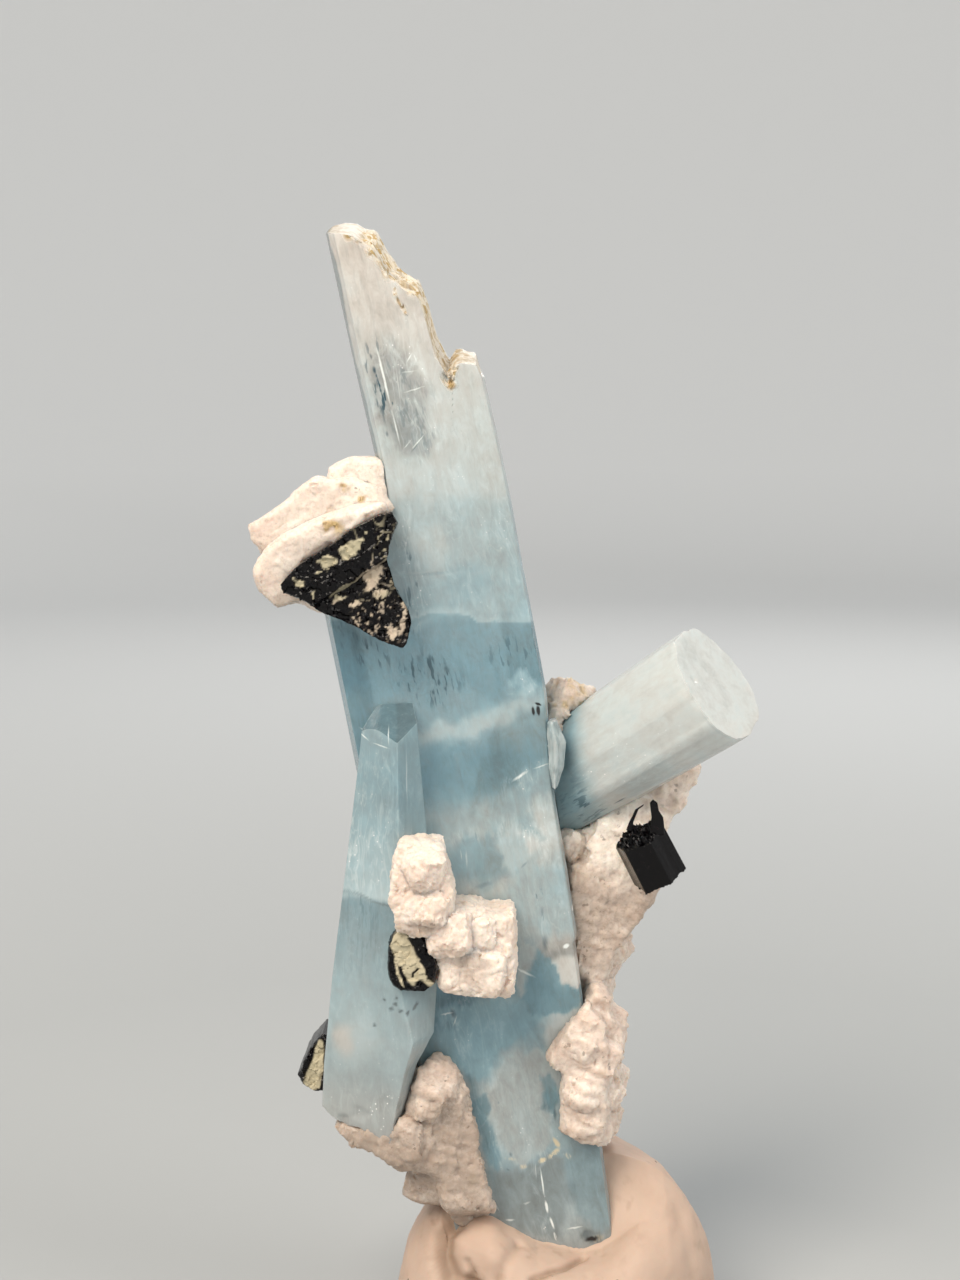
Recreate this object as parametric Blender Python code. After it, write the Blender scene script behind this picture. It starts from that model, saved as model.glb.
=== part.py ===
"""An aquamarine crystal specimen on its putty foot.

Pale blue beryl prisms have grown together with blocky white albite feldspar and black schorl tourmaline.
The foot of the tallest prism is pressed into a hand-kneaded lump of display putty with a flat base.
Metres, +Z up.  The origin is the middle of the putty's flat base and -Y is the show side.
"""

import math
import random

import bmesh
import bpy
from mathutils import Matrix, Vector

MM = 0.001
GAP = 0.3 * MM  # kept between neighbours, so that no two solids share a face

# Driving dimensions.
PUTTY_HALF_WIDTH = 25.2 * MM
PUTTY_HALF_DEPTH = 20.5 * MM
MAIN_FOOT = 14.0  # mm above the table: the tall prism's buried end
MAIN_HALF_DEPTH = 7.5 * MM
FRONT_CRYSTAL_BACK = -7.6 * MM
RIGHT_CRYSTAL_TIP = Vector((23.5, -10.0, 106.0)) * MM
RIGHT_CRYSTAL_LENGTH = 34.0 * MM
RIGHT_CRYSTAL_RISE = math.radians(39.0)  # above level, seen from the front
RIGHT_CRYSTAL_FORWARD = math.radians(31.0)  # towards the viewer

OBJECT_NAME = "aquamarine_specimen"


def clear_scene():
    for obj in list(bpy.data.objects):
        bpy.data.objects.remove(obj, do_unlink=True)


def new_collection(name, hidden=False):
    made = bpy.data.collections.new(name)
    bpy.context.scene.collection.children.link(made)
    made.hide_render = hidden
    return made


def principled(name, colour, roughness, transmission=0.0, ior=1.5):
    made = bpy.data.materials.new(name)
    made.use_nodes = True
    shader = made.node_tree.nodes["Principled BSDF"]
    shader.inputs["Base Color"].default_value = (*colour, 1.0)
    shader.inputs["Roughness"].default_value = roughness
    shader.inputs["Metallic"].default_value = 0.0
    shader.inputs["Transmission Weight"].default_value = transmission
    shader.inputs["IOR"].default_value = ior
    made.diffuse_color = (*colour, 1.0)
    return made


def add_object(name, bm, collection, material=None):
    """Puts a bmesh in a new object, with its faces pointing outwards."""
    bmesh.ops.recalc_face_normals(bm, faces=bm.faces)
    mesh = bpy.data.meshes.new(name)
    bm.to_mesh(mesh)
    bm.free()
    if material:
        mesh.materials.append(material)
    obj = bpy.data.objects.new(name, mesh)
    collection.objects.link(obj)
    if collection.hide_render:
        obj.hide_render = True
        obj.display_type = "WIRE"
    return obj


def keep_largest_shell(bm):
    """Deletes all but the shell with the most volume: a cut can leave loose crumbs."""
    unseen = set(bm.faces)
    shells = []
    while unseen:
        stack = [unseen.pop()]
        shell = []
        while stack:
            face = stack.pop()
            shell.append(face)
            for edge in face.edges:
                for other in edge.link_faces if len(edge.link_faces) == 2 else ():
                    if other in unseen:
                        unseen.remove(other)
                        stack.append(other)
        shells.append(shell)

    def extent(shell):
        points = [v.co for face in shell for v in face.verts]
        return sum(max(p[i] for p in points) - min(p[i] for p in points) for i in range(3))

    shells.sort(key=extent)
    for shell in shells[:-1]:
        bmesh.ops.delete(bm, geom=shell, context="FACES")


def carve(obj, join=None, cut=(), solver="EXACT"):
    """Unions the objects of the collection join, subtracts each object of cut, and keeps one shell."""
    if join:
        union = obj.modifiers.new("join", "BOOLEAN")
        union.operation = "UNION"
        union.operand_type = "COLLECTION"
        union.collection = join
        union.solver = solver
    for cutter in cut:
        difference = obj.modifiers.new("cut", "BOOLEAN")
        difference.operation = "DIFFERENCE"
        difference.object = cutter
        difference.solver = solver
    bpy.context.view_layer.update()
    evaluated = obj.evaluated_get(bpy.context.evaluated_depsgraph_get())
    bm = bmesh.new()
    bm.from_mesh(evaluated.to_mesh())
    evaluated.to_mesh_clear()
    obj.modifiers.clear()
    bmesh.ops.dissolve_degenerate(bm, edges=bm.edges, dist=0.002 * MM)
    bmesh.ops.triangulate(bm, faces=bm.faces)
    keep_largest_shell(bm)
    bm.to_mesh(obj.data)
    bm.free()


def loft(rings):
    """A bmesh with a side of quads between equal rings of points and a flat face over each end."""
    bm = bmesh.new()
    rows = [[bm.verts.new(point) for point in ring] for ring in rings]
    count = len(rows[0])
    for low, high in zip(rows, rows[1:]):
        for i in range(count):
            j = (i + 1) % count
            bm.faces.new((low[i], low[j], high[j], high[i]))
    bm.faces.new(rows[0][::-1])
    bm.faces.new(rows[-1])
    return bm


def outset(outline, distance):
    """A convex outline with each side moved outwards by distance."""
    count = len(outline)
    middle = sum(outline, Vector((0.0, 0.0))) / count
    lines = []
    for i, point in enumerate(outline):
        along = (outline[(i + 1) % count] - point).normalized()
        normal = Vector((along.y, -along.x))
        if normal.dot(point - middle) < 0.0:
            normal.negate()
        lines.append((normal, normal.dot(point) + distance))
    moved = []
    for i in range(count):
        (n1, d1), (n2, d2) = lines[i - 1], lines[i]
        area = n1.x * n2.y - n1.y * n2.x
        moved.append(Vector(((d1 * n2.y - d2 * n1.y) / area, (n1.x * d2 - n2.x * d1) / area)))
    return moved


def between(table, height):
    """Reads a list of (height, value, ...) rows at one height, in straight steps."""
    rows = sorted(table)
    if height <= rows[0][0]:
        return rows[0][1:]
    for low, high in zip(rows, rows[1:]):
        if height <= high[0]:
            share = (height - low[0]) / (high[0] - low[0])
            return tuple(a + share * (b - a) for a, b in zip(low[1:], high[1:]))
    return rows[-1][1:]


def broken_surface(name, collection, profile, roughness, seed, upwards=True, dip=0.0):
    """A cutter bounded by a hackly fracture, in millimetres: profile gives its height along X, random
    steps break it, and it falls by dip for each millimetre towards the show side."""
    half_depth, thickness = 12.0, 20.0
    dice = random.Random(seed)
    low_x, high_x = profile[0][0], profile[-1][0]
    bm = bmesh.new()
    bmesh.ops.create_grid(bm, x_segments=26, y_segments=7, size=1.0)
    for vert in bm.verts:
        x = low_x + (vert.co.x + 1.0) / 2.0 * (high_x - low_x)
        y = vert.co.y * half_depth
        height = between(profile, x)[0] + dip * y + dice.uniform(-roughness, roughness)
        vert.co = Vector((x, y, height)) * MM
    heights = [v.co.z for v in bm.verts]
    far = max(heights) + thickness * MM if upwards else min(heights) - thickness * MM
    grown = bmesh.ops.extrude_face_region(bm, geom=list(bm.faces))
    for item in grown["geom"]:
        if isinstance(item, bmesh.types.BMVert):
            item.co.z = far
    return add_object(name, bm, collection)


# The tall main prism ---------------------------------------------------------------------------------
# Each level gives, in millimetres: height, left edge, right edge and the width of the narrow side face
# at the left of the broad front face.  Above the shoulder only the right-hand half goes on.
SHOULDER = 121.6
MAIN_LEVELS = (
    (MAIN_FOOT, -14.2, 10.6, 1.2),
    (23.0, -16.0, 9.2, 1.2),
    (50.0, -21.3, 5.5, 1.2),
    (66.6, -24.5, 3.3, 1.2),
    (67.4, -24.7, 3.6, 1.2),
    (77.7, -26.7, 2.0, 1.2),
    (88.0, -28.7, 0.2, 1.2),
    (104.5, -31.9, -1.2, 1.2),
    (SHOULDER, -35.2, -4.4, 1.2),
    (SHOULDER + 0.8, -26.6, -4.6, 1.5),
    (131.0, -25.4, -6.1, 1.5),
    (138.5, -26.4, -7.6, 1.5),
    (153.0, -29.6, -11.0, 1.5),
    (180.0, -35.2, -16.8, 1.5),
)
MAIN_TOP_BREAK = (
    (-40.0, 170.4), (-34.6, 170.8), (-32.6, 172.0), (-31.1, 172.2), (-29.5, 171.9), (-27.7, 170.8),
    (-26.4, 170.1), (-25.2, 168.0), (-24.0, 166.2), (-22.3, 164.8), (-20.1, 163.4), (-19.0, 160.8),
    (-17.7, 155.7), (-16.4, 153.2), (-15.5, 151.9), (-14.6, 153.5), (-13.6, 153.8), (-11.6, 153.4),
    (-10.9, 151.8), (-4.0, 149.0),
)
MAIN_TOP_DIP = 0.23  # the break falls this much for each millimetre towards the show side
MAIN_FOOT_BREAK = ((-24.0, 15.5), (-9.0, 15.0), (2.0, 14.6), (16.0, 15.6))


def main_section(left, right, side):
    """The prism's outline at one level: a flattened hexagon with its narrow corner faces."""
    deep = MAIN_HALF_DEPTH / MM
    corners = (
        (left, -2.2), (left + 0.5, -4.6), (left + side, -deep), (right - 0.5, 1.0 - deep),
        (right, 2.8 - deep), (right - 0.3, 3.0), (right - 5.5, deep), (left + 4.5, deep), (left + 0.3, 3.4),
    )
    return [Vector(corner) * MM for corner in corners]


def main_prism(grow=0.0):
    rings = []
    for height, left, right, side in MAIN_LEVELS:
        lift = grow if height == SHOULDER else 0.0
        outline = outset(main_section(left, right, side), grow)
        rings.append([Vector((p.x, p.y, height * MM + lift)) for p in outline])
    for point in rings[0]:
        point.z -= grow
    return loft(rings)


# The shorter crystal in front ------------------------------------------------------------------------
# Each level gives height, left edge, right edge and how far the front ridge stands out, in millimetres.
FRONT_LEVELS = (
    (40.8, -34.4, -22.4, -15.0, 0.88),
    (43.0, -34.5, -22.0, -15.6, 0.88),
    (50.0, -34.1, -20.4, -16.4, 0.88),
    (55.0, -33.6, -17.8, -17.0, 0.82),
    (63.0, -32.8, -17.2, -17.4, 0.66),
    (84.0, -30.1, -18.7, -17.0, 0.66),
    (110.0, -26.8, -20.8, -16.4, 0.66),
)
FRONT_TOP_POINT = Vector((-24.0, -8.0, 103.0)) * MM
FRONT_TOP_NORMAL = Vector((-0.03, -0.45, 0.89))


def front_section(left, right, ridge, share):
    """Five corners: the front ridge stands out to ridge, at share of the way from left to right."""
    back = FRONT_CRYSTAL_BACK / MM
    corners = (
        (left, -11.0), (left + share * (right - left), ridge), (right, -12.4),
        (right - 0.6, back), (left + 1.8, back),
    )
    return [Vector(corner) * MM for corner in corners]


def front_prism(grow=0.0):
    rings = []
    for height, *section in FRONT_LEVELS:
        outline = outset(front_section(*section), grow)
        rings.append([Vector((p.x, p.y, height * MM)) for p in outline])
    for point in rings[0]:
        point.z -= grow
    bm = loft(rings)
    normal = FRONT_TOP_NORMAL.normalized()
    cut = bmesh.ops.bisect_plane(
        bm, geom=bm.verts[:] + bm.edges[:] + bm.faces[:], dist=1e-7,
        plane_co=FRONT_TOP_POINT + normal * grow, plane_no=normal, clear_outer=True,
    )
    bmesh.ops.contextual_create(bm, geom=[e for e in cut["geom_cut"] if isinstance(e, bmesh.types.BMEdge)])
    return bm


# The crystal that leans out to the right -------------------------------------------------------------
def right_frame():
    """The crystal's own axes: up its flank, towards the viewer, and along it."""
    rise, forward = RIGHT_CRYSTAL_RISE, RIGHT_CRYSTAL_FORWARD
    level = math.cos(forward)
    along = Vector((level * math.cos(rise), -math.sin(forward), level * math.sin(rise)))
    flank = Vector((-math.sin(rise), 0.0, math.cos(rise)))
    return flank, along.cross(flank), along


RIGHT_OUTLINE = (
    (9.1, 2.6), (8.0, 5.4), (4.6, 7.3), (0.0, 8.1), (-4.2, 7.6), (-7.0, 5.6), (-8.3, 3.2), (-8.5, -1.5),
    (-6.8, -6.0), (-2.9, -8.2), (2.9, -7.6), (7.2, -5.0), (9.4, -1.6),
)


def right_prism(grow=0.0):
    flank, front, along = right_frame()
    outline = outset([Vector(corner) * MM for corner in RIGHT_OUTLINE], grow)
    rings = []
    for share, size in ((1.0, 0.9), (0.5, 0.95), (0.12, 0.99), (0.0, 0.99)):
        middle = RIGHT_CRYSTAL_TIP - along * RIGHT_CRYSTAL_LENGTH * share
        rings.append([middle + (flank * p.x - front * p.y) * size for p in outline])
    for point in rings[0]:
        point -= along * grow
    for point in rings[-1]:
        point += along * grow
    return loft(rings)


# The small blade wedged between them -----------------------------------------------------------------
BLADE_LEVELS = ((90.3, -0.4, 0.3), (93.5, -1.2, 1.3), (97.0, -1.4, 1.6), (100.2, -1.2, 0.2))


def blade(grow=0.0):
    rings = []
    for height, left, right in BLADE_LEVELS:
        corners = ((left, -6.4), ((left + right) / 2.0, -8.0), (right, -6.6), (right, -3.6), (left, -3.4))
        outline = outset([Vector(corner) * MM for corner in corners], grow)
        rings.append([Vector((p.x, p.y, height * MM)) for p in outline])
    return loft(rings)


# Schorl: black prisms with a rounded three-sided section, ribbed along their length -------------------
def schorl_outline(corners, rib, each):
    """The outline through corners, with each side split and every other point set in by rib."""
    points = []
    count = len(corners)
    middle = sum(corners, Vector((0.0, 0.0))) / count
    for i, corner in enumerate(corners):
        following = corners[(i + 1) % count]
        for step in range(each):
            point = corner.lerp(following, step / each)
            inset = rib if step % 2 else 0.0
            points.append(point - (point - middle).normalized() * inset)
    return points


def prism_along(outline, start, axis, sideways, length, grow=0.0, taper=1.0, dome=0.0, dice=None):
    """A prism from start along axis: its outline's X runs sideways and its Y at right angles to both."""
    axis = axis.normalized()
    sideways = (sideways - axis * sideways.dot(axis)).normalized()
    across = sideways.cross(axis)
    rings = []
    stations = ((0.0, 1.0), (0.9, 1.0 + 0.9 * (taper - 1.0)), (1.0, taper * (1.0 - dome)))
    for share, size in stations:
        centre = start + axis * length * share
        ring = []
        for p in outline:
            spread = p * size + p.normalized() * grow
            ring.append(centre + sideways * spread.x + across * spread.y)
        rings.append(ring)
    for point in rings[0]:
        point -= axis * grow
    for point in rings[-1]:
        point += axis * (grow + (dice.uniform(-0.35, 0.35) * MM if dice else 0.0))
    return loft(rings)


def regular(radius, sides, squash=1.0, turn=0.0):
    return [
        Vector((math.cos(math.tau * i / sides + turn) * radius,
                math.sin(math.tau * i / sides + turn) * radius * squash))
        for i in range(sides)
    ]


# The big schorl is seen along its length: corners are about its own middle, across and up.
UPPER_SCHORL_MIDDLE = Vector((-28.6, -14.6, 121.4)) * MM
UPPER_SCHORL_LENGTH = 15.0 * MM
UPPER_SCHORL_CORNERS = (
    (-10.6, -0.2), (-8.0, 2.6), (-4.8, 4.4), (-0.8, 7.2), (3.4, 9.5), (5.2, 10.0), (6.1, 8.4), (4.8, 5.1),
    (4.5, 3.0), (5.8, -1.3), (7.5, -4.1), (7.9, -5.6), (7.3, -8.8), (6.5, -9.6), (3.3, -8.4), (-0.2, -6.3),
    (-4.8, -4.3), (-7.7, -2.5), (-10.1, -1.5),
)


def upper_schorl(grow=0.0):
    corners = [Vector(corner) * MM for corner in UPPER_SCHORL_CORNERS]
    return prism_along(
        corners, UPPER_SCHORL_MIDDLE, Vector((-0.05, 1.0, 0.06)), Vector((1.0, 0.0, 0.0)),
        UPPER_SCHORL_LENGTH, grow, taper=0.8,
    )


# The stub in front runs straight towards the viewer: corners are about its middle, across and down.
FRONT_SCHORL_CORNERS = (
    (-1.8, -5.0), (-2.8, -4.0), (-3.4, -2.6), (-3.6, 0.0), (-3.5, 2.3), (-2.9, 3.6), (-1.7, 4.4), (1.7, 4.5),
    (3.2, 3.3), (3.7, 1.2), (3.0, -1.6), (1.8, -4.0), (0.2, -4.9),
)


def front_schorl(grow=0.0):
    corners = [Vector(corner) * MM for corner in FRONT_SCHORL_CORNERS]
    return prism_along(
        corners, Vector((-20.6, -11.6, 67.4)) * MM, Vector((0.0, -1.0, 0.03)), Vector((1.0, 0.0, 0.0)),
        7.4 * MM, grow, dome=0.08, dice=random.Random(11),
    )


def right_schorl(grow=0.0):
    corners = schorl_outline(regular(4.2 * MM, 6, 0.92, 0.25), 0.12 * MM, 2)
    return prism_along(
        corners, Vector((15.8, -6.2, 76.8)) * MM, Vector((-0.44, -0.24, 0.86)), Vector((1.0, 0.0, 0.4)),
        7.4 * MM, grow, taper=0.97, dice=random.Random(5),
    )


# The left one is a leaning blade, also seen along its length: corners are across and down.
LEFT_SCHORL_CORNERS = (
    (1.6, -4.9), (-0.2, -2.8), (-1.4, -0.6), (-2.1, 1.6), (-1.5, 3.0), (0.2, 4.2), (2.2, 4.0), (4.4, 2.0),
    (5.2, -1.6), (3.8, -4.4),
)


def left_schorl(grow=0.0):
    corners = [Vector(corner) * MM for corner in LEFT_SCHORL_CORNERS]
    return prism_along(
        corners, Vector((-36.6, 4.4, 46.5)) * MM, Vector((0.0, -1.0, 0.02)), Vector((1.0, 0.0, 0.0)),
        8.2 * MM, grow, dome=0.14, dice=random.Random(7),
    )


# Feldspar: clusters of blunt cleavage blocks ----------------------------------------------------------
def cleavage_block(dice, centre, size, lean, rounded=True):
    """One blunt block: a cube, knocked out of true, with its edges cut back, near the cluster's lean."""
    bm = bmesh.new()
    bmesh.ops.create_cube(bm, size=1.0)
    for vert in bm.verts:
        vert.co += Vector([dice.uniform(-0.09, 0.09) for _ in range(3)])
    if rounded:
        bmesh.ops.bevel(bm, geom=bm.edges[:], offset=0.17, segments=1, affect="EDGES", clamp_overlap=True)
    stretch = Matrix.Diagonal([dice.uniform(0.85, 1.2) * size for _ in range(3)]).to_4x4()
    turn = Matrix.Rotation(lean + dice.uniform(-0.35, 0.35), 4, "Y")
    turn = turn @ Matrix.Rotation(dice.uniform(-0.4, 0.4), 4, "X")
    turn = turn @ Matrix.Rotation(dice.uniform(-0.7, 0.7), 4, "Z")
    bmesh.ops.transform(bm, matrix=Matrix.Translation(centre) @ turn @ stretch, verts=bm.verts)
    return bm


def cleavage_slab(front, back, across, up, outline):
    """A broad slab: an outline in x and z, run between two depths, with its front edges cut back. Its
    face leans by across and up, in millimetres of depth for each millimetre to the right and upwards."""
    count = len(outline)
    middle_x = sum(x for x, z in outline) / count
    middle_z = sum(z for x, z in outline) / count
    rings = []
    for depth, size in ((back, 0.94), (front + 1.3, 1.0), (front + 0.3, 0.95), (front, 0.88)):
        ring = []
        for x, z in outline:
            right, rise = (x - middle_x) * size, (z - middle_z) * size
            ring.append(Vector((middle_x + right, depth + across * right + up * rise, middle_z + rise)) * MM)
        rings.append(ring)
    return loft(rings)


def feldspar(name, slabs, blocks, teeth, seed, lean, parts, material, cut):
    """Joins slabs and blocks of (x, y, z, size) in millimetres, the blocks with small teeth on their skin,
    into one solid."""
    dice = random.Random(seed)
    pieces = new_collection(name + "_blocks", hidden=True)
    shapes = [cleavage_slab(*slab) for slab in slabs]
    for x, y, z, size in blocks:
        middle = Vector((x, y, z)) * MM
        shapes.append(cleavage_block(dice, middle, size * MM, lean))
        for _ in range(teeth):
            way = Vector([dice.gauss(0.0, 1.0) for _ in range(3)]).normalized()
            tooth = dice.uniform(0.28, 0.42) * size * MM
            shapes.append(cleavage_block(dice, middle + way * size * MM * 0.5, tooth, lean, rounded=False))
    for i, bm in enumerate(shapes[1:]):
        add_object(f"{name}_block_{i}", bm, pieces)
    obj = add_object(name, shapes[0], parts, material)
    carve(obj, join=pieces, cut=cut, solver="MANIFOLD")  # EXACT loses faces where a hundred blocks meet
    return obj


# Each slab: front depth, back depth, lean across, lean up, then its outline in x and z.
MATRIX_SLABS = (
    # to the right of the tall prism, above and below the black crystal
    (-0.6, 11.0, 0.05, 0.1, (
        (5.0, 77.0), (6.5, 82.0), (8.9, 86.6), (10.8, 88.2), (16.5, 90.6), (21.6, 93.0), (22.3, 91.5),
        (21.8, 90.1), (20.6, 88.1), (20.3, 86.4), (18.2, 84.6), (16.8, 82.0), (15.2, 79.0), (12.6, 76.0),
        (8.0, 74.8),
    )),
    (-1.6, 8.0, 0.16, -0.05, (
        (0.8, 72.0), (3.4, 77.0), (8.3, 78.0), (13.4, 75.4), (15.5, 74.3), (16.2, 73.0), (15.5, 71.3),
        (13.9, 69.9), (12.8, 67.8), (10.6, 65.6), (9.2, 63.1), (8.2, 60.4), (6.1, 58.6), (2.2, 61.0),
    )),
    # lower left, below the front crystal and running down to the putty
    (-12.6, -3.0, 0.28, 0.05, (
        (-18.2, 50.0), (-15.9, 49.7), (-13.5, 45.8), (-12.3, 40.6), (-11.6, 35.9), (-10.4, 30.7),
        (-9.2, 26.4), (-9.6, 22.0), (-13.6, 22.0), (-15.9, 27.0), (-16.5, 30.1), (-16.8, 32.4),
        (-18.9, 33.8), (-21.8, 35.0), (-23.4, 37.0), (-22.4, 42.7), (-20.6, 47.3),
    )),
    (-13.4, 0.5, -0.36, 0.0, (
        (-34.0, 44.3), (-33.1, 42.6), (-32.3, 40.7), (-30.8, 39.2), (-29.7, 38.3), (-27.3, 37.5),
        (-25.3, 37.1), (-23.8, 36.6), (-20.6, 36.2), (-19.6, 39.0), (-21.0, 42.5), (-31.5, 45.0),
    )),
    # over the tall prism's right-hand edge, and behind it
    (-9.2, -1.0, -0.06, 0.0, (
        (2.3, 54.8), (0.4, 51.5), (-0.7, 49.8), (1.3, 47.7), (1.7, 44.6), (1.5, 39.0), (4.0, 36.8),
        (6.7, 36.5), (7.9, 40.7), (7.0, 46.1), (7.8, 50.8), (6.9, 55.4), (5.2, 57.2),
    )),
    (-5.0, 6.0, 0.2, 0.0, (
        (4.0, 55.6), (6.8, 59.5), (8.1, 57.2), (9.0, 54.4), (10.5, 52.5), (10.4, 50.0), (9.3, 48.4),
        (9.7, 45.4), (8.5, 42.7), (9.3, 38.6), (7.3, 34.8), (4.6, 35.5), (3.6, 45.0),
    )),
)
MATRIX_BLOCKS = (
    # the saddle above the right-hand crystal's root
    (2.8, 5.0, 98.6, 9.0), (-2.5, 8.5, 96.0, 10.0), (6.0, 9.0, 94.0, 8.5),
    # round the root and under the crystal, out to the right
    (2.0, 11.0, 88.5, 12.5), (9.5, 11.5, 86.5, 11.0), (6.8, 6.5, 79.0, 12.0), (5.0, 6.5, 71.0, 12.0),
    (4.8, 5.5, 63.0, 10.0),
    # down the right-hand side, wrapping in front of the tall prism's edge
    (4.4, 4.5, 55.5, 8.5), (6.4, 0.5, 50.4, 7.8), (6.6, 0.5, 43.4, 7.8), (5.4, 1.5, 36.6, 8.0),
    (4.0, -7.8, 51.6, 4.6), (6.8, -5.6, 48.4, 5.6), (4.0, -7.8, 44.2, 4.4), (7.2, -4.6, 42.4, 5.4),
    (4.6, -7.4, 39.6, 4.6), (6.6, -5.0, 38.0, 5.0),
    # the back
    (-5.0, 11.0, 86.0, 12.0), (-3.5, 11.5, 75.5, 13.0), (-7.0, 11.5, 64.0, 14.0), (-9.5, 11.0, 52.0, 14.0),
    (-11.0, 10.5, 40.0, 13.0), (0.5, 10.0, 47.0, 13.0), (-2.0, 9.5, 36.5, 12.0), (-19.0, 9.0, 45.0, 12.0),
    # behind and below the front crystal, then round the tall prism's left edge
    (-25.0, 4.5, 47.0, 11.0), (-26.0, 2.0, 39.5, 11.0), (-30.5, -2.0, 44.0, 8.5), (-21.4, -9.6, 38.2, 8.0),
    (-18.6, -11.6, 45.4, 5.4), (-17.6, -6.4, 31.0, 7.6),
)
UPPER_SLABS = (
    (-11.2, 2.0, 0.0, -0.12, (
        (-43.5, 122.0), (-42.8, 119.9), (-40.3, 117.7), (-37.5, 118.4), (-33.0, 116.5), (-28.5, 117.5),
        (-24.5, 122.0), (-23.6, 129.0), (-24.8, 132.2), (-28.7, 131.8), (-32.4, 130.5), (-35.6, 129.2),
        (-39.0, 127.6), (-41.6, 125.6), (-42.7, 124.0),
    )),
    (-9.4, 3.0, 0.05, -0.1, (
        (-44.1, 128.9), (-43.8, 127.0), (-41.8, 125.2), (-37.0, 123.0), (-30.0, 124.0), (-24.0, 128.0),
        (-23.5, 132.0), (-25.4, 134.0), (-29.4, 135.6), (-32.7, 135.3), (-34.8, 135.9), (-35.7, 135.2),
        (-38.0, 133.1), (-40.3, 131.3),
    )),
    (-7.8, 4.0, 0.1, 0.08, (
        (-33.2, 133.0), (-32.7, 135.3), (-32.7, 137.3), (-29.8, 138.5), (-26.2, 138.6), (-23.0, 138.0),
        (-21.5, 131.0), (-24.7, 129.0), (-29.5, 130.0),
    )),
)
UPPER_BLOCKS = (
    (-29.0, 0.0, 127.0, 9.0), (-28.5, 4.0, 127.0, 9.5), (-35.5, 3.5, 124.6, 8.0), (-40.2, 0.0, 126.0, 6.0),
)
FRONT_SLABS = (
    (-20.0, -12.0, 0.1, 0.06, (
        (-22.3, 84.9), (-19.1, 84.6), (-16.7, 84.2), (-16.1, 81.6), (-15.0, 78.4), (-14.8, 75.5),
        (-16.7, 72.4), (-19.6, 71.2), (-22.4, 72.7), (-23.5, 76.9), (-23.1, 82.0),
    )),
    (-17.6, -7.9, 0.12, 0.0, (
        (-18.8, 73.3), (-14.7, 74.8), (-11.6, 74.4), (-9.4, 73.2), (-6.2, 73.9), (-5.9, 66.5),
        (-6.3, 61.8), (-10.7, 61.9), (-15.6, 62.8), (-18.0, 64.7), (-19.0, 67.0), (-19.9, 69.6),
    )),
)
FRONT_BLOCKS = (
    (-19.6, -18.6, 81.2, 5.2), (-18.6, -19.0, 75.8, 5.0), (-15.2, -17.2, 71.6, 5.6), (-11.2, -16.0, 71.2, 4.6),
    (-10.4, -15.8, 65.6, 5.4),
)


# Display putty ---------------------------------------------------------------------------------------
PUTTY_AROUND = 44
PUTTY_UP = 13
# Its crown, in millimetres: x, the height behind the tall prism, and the rim's height in front of it.
PUTTY_CROWN = (
    (-24.0, 22.0, 22.0), (-22.0, 25.0, 24.5), (-19.0, 27.4, 26.6), (-17.0, 28.8, 27.2), (-13.4, 28.6, 25.9),
    (-9.3, 28.5, 25.0), (-6.8, 28.5, 23.3), (-2.4, 28.8, 20.7), (1.9, 29.5, 19.6), (4.8, 30.6, 19.0),
    (7.4, 31.6, 19.6), (9.7, 32.0, 21.6), (13.0, 31.6, 24.6), (17.5, 31.0, 27.0), (21.0, 29.5, 27.4),
    (25.0, 28.5, 27.0),
)


def putty(grow=0.0):
    """A kneaded lump: rings shrink from a flat base to a crown that is lowest in front of the crystal."""
    rings = []
    for step in range(PUTTY_UP + 1):
        t = step / PUTTY_UP
        climb = t * math.pi / 2.0
        spread = math.cos(climb) ** 0.42 if step < PUTTY_UP else 0.06
        lift = math.sin(climb) ** 0.9
        ring = []
        for i in range(PUTTY_AROUND):
            turn = math.tau * i / PUTTY_AROUND
            knead = 1.0 + 0.03 * math.sin(2.0 * turn + 0.6) + 0.022 * math.sin(5.0 * turn + 1.3 + 2.0 * t)
            knead -= 0.07 * math.exp(-((turn - 4.05) / 0.22) ** 2) * math.sin(math.pi * min(1.0, t * 1.6))
            foot = 1.0 - 0.1 * (1.0 - min(1.0, t * 5.0)) ** 2  # tucked in where it meets the table
            x = math.cos(turn) * PUTTY_HALF_WIDTH * spread * knead * foot
            y = math.sin(turn) * PUTTY_HALF_DEPTH * spread * knead * foot
            lip = min(1.0, max(0.0, (-y / MM - 1.0) / 6.0))  # pressed down along the crystal's front
            behind, before = between(PUTTY_CROWN, x / MM)
            ring.append(Vector((x, y, (behind + (before - behind) * lip) * MM * lift)))
        rings.append(ring)
    bm = loft(rings)
    if grow:
        bm.normal_update()
        for vert in bm.verts:
            vert.co += vert.normal * grow
    return bm


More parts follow.
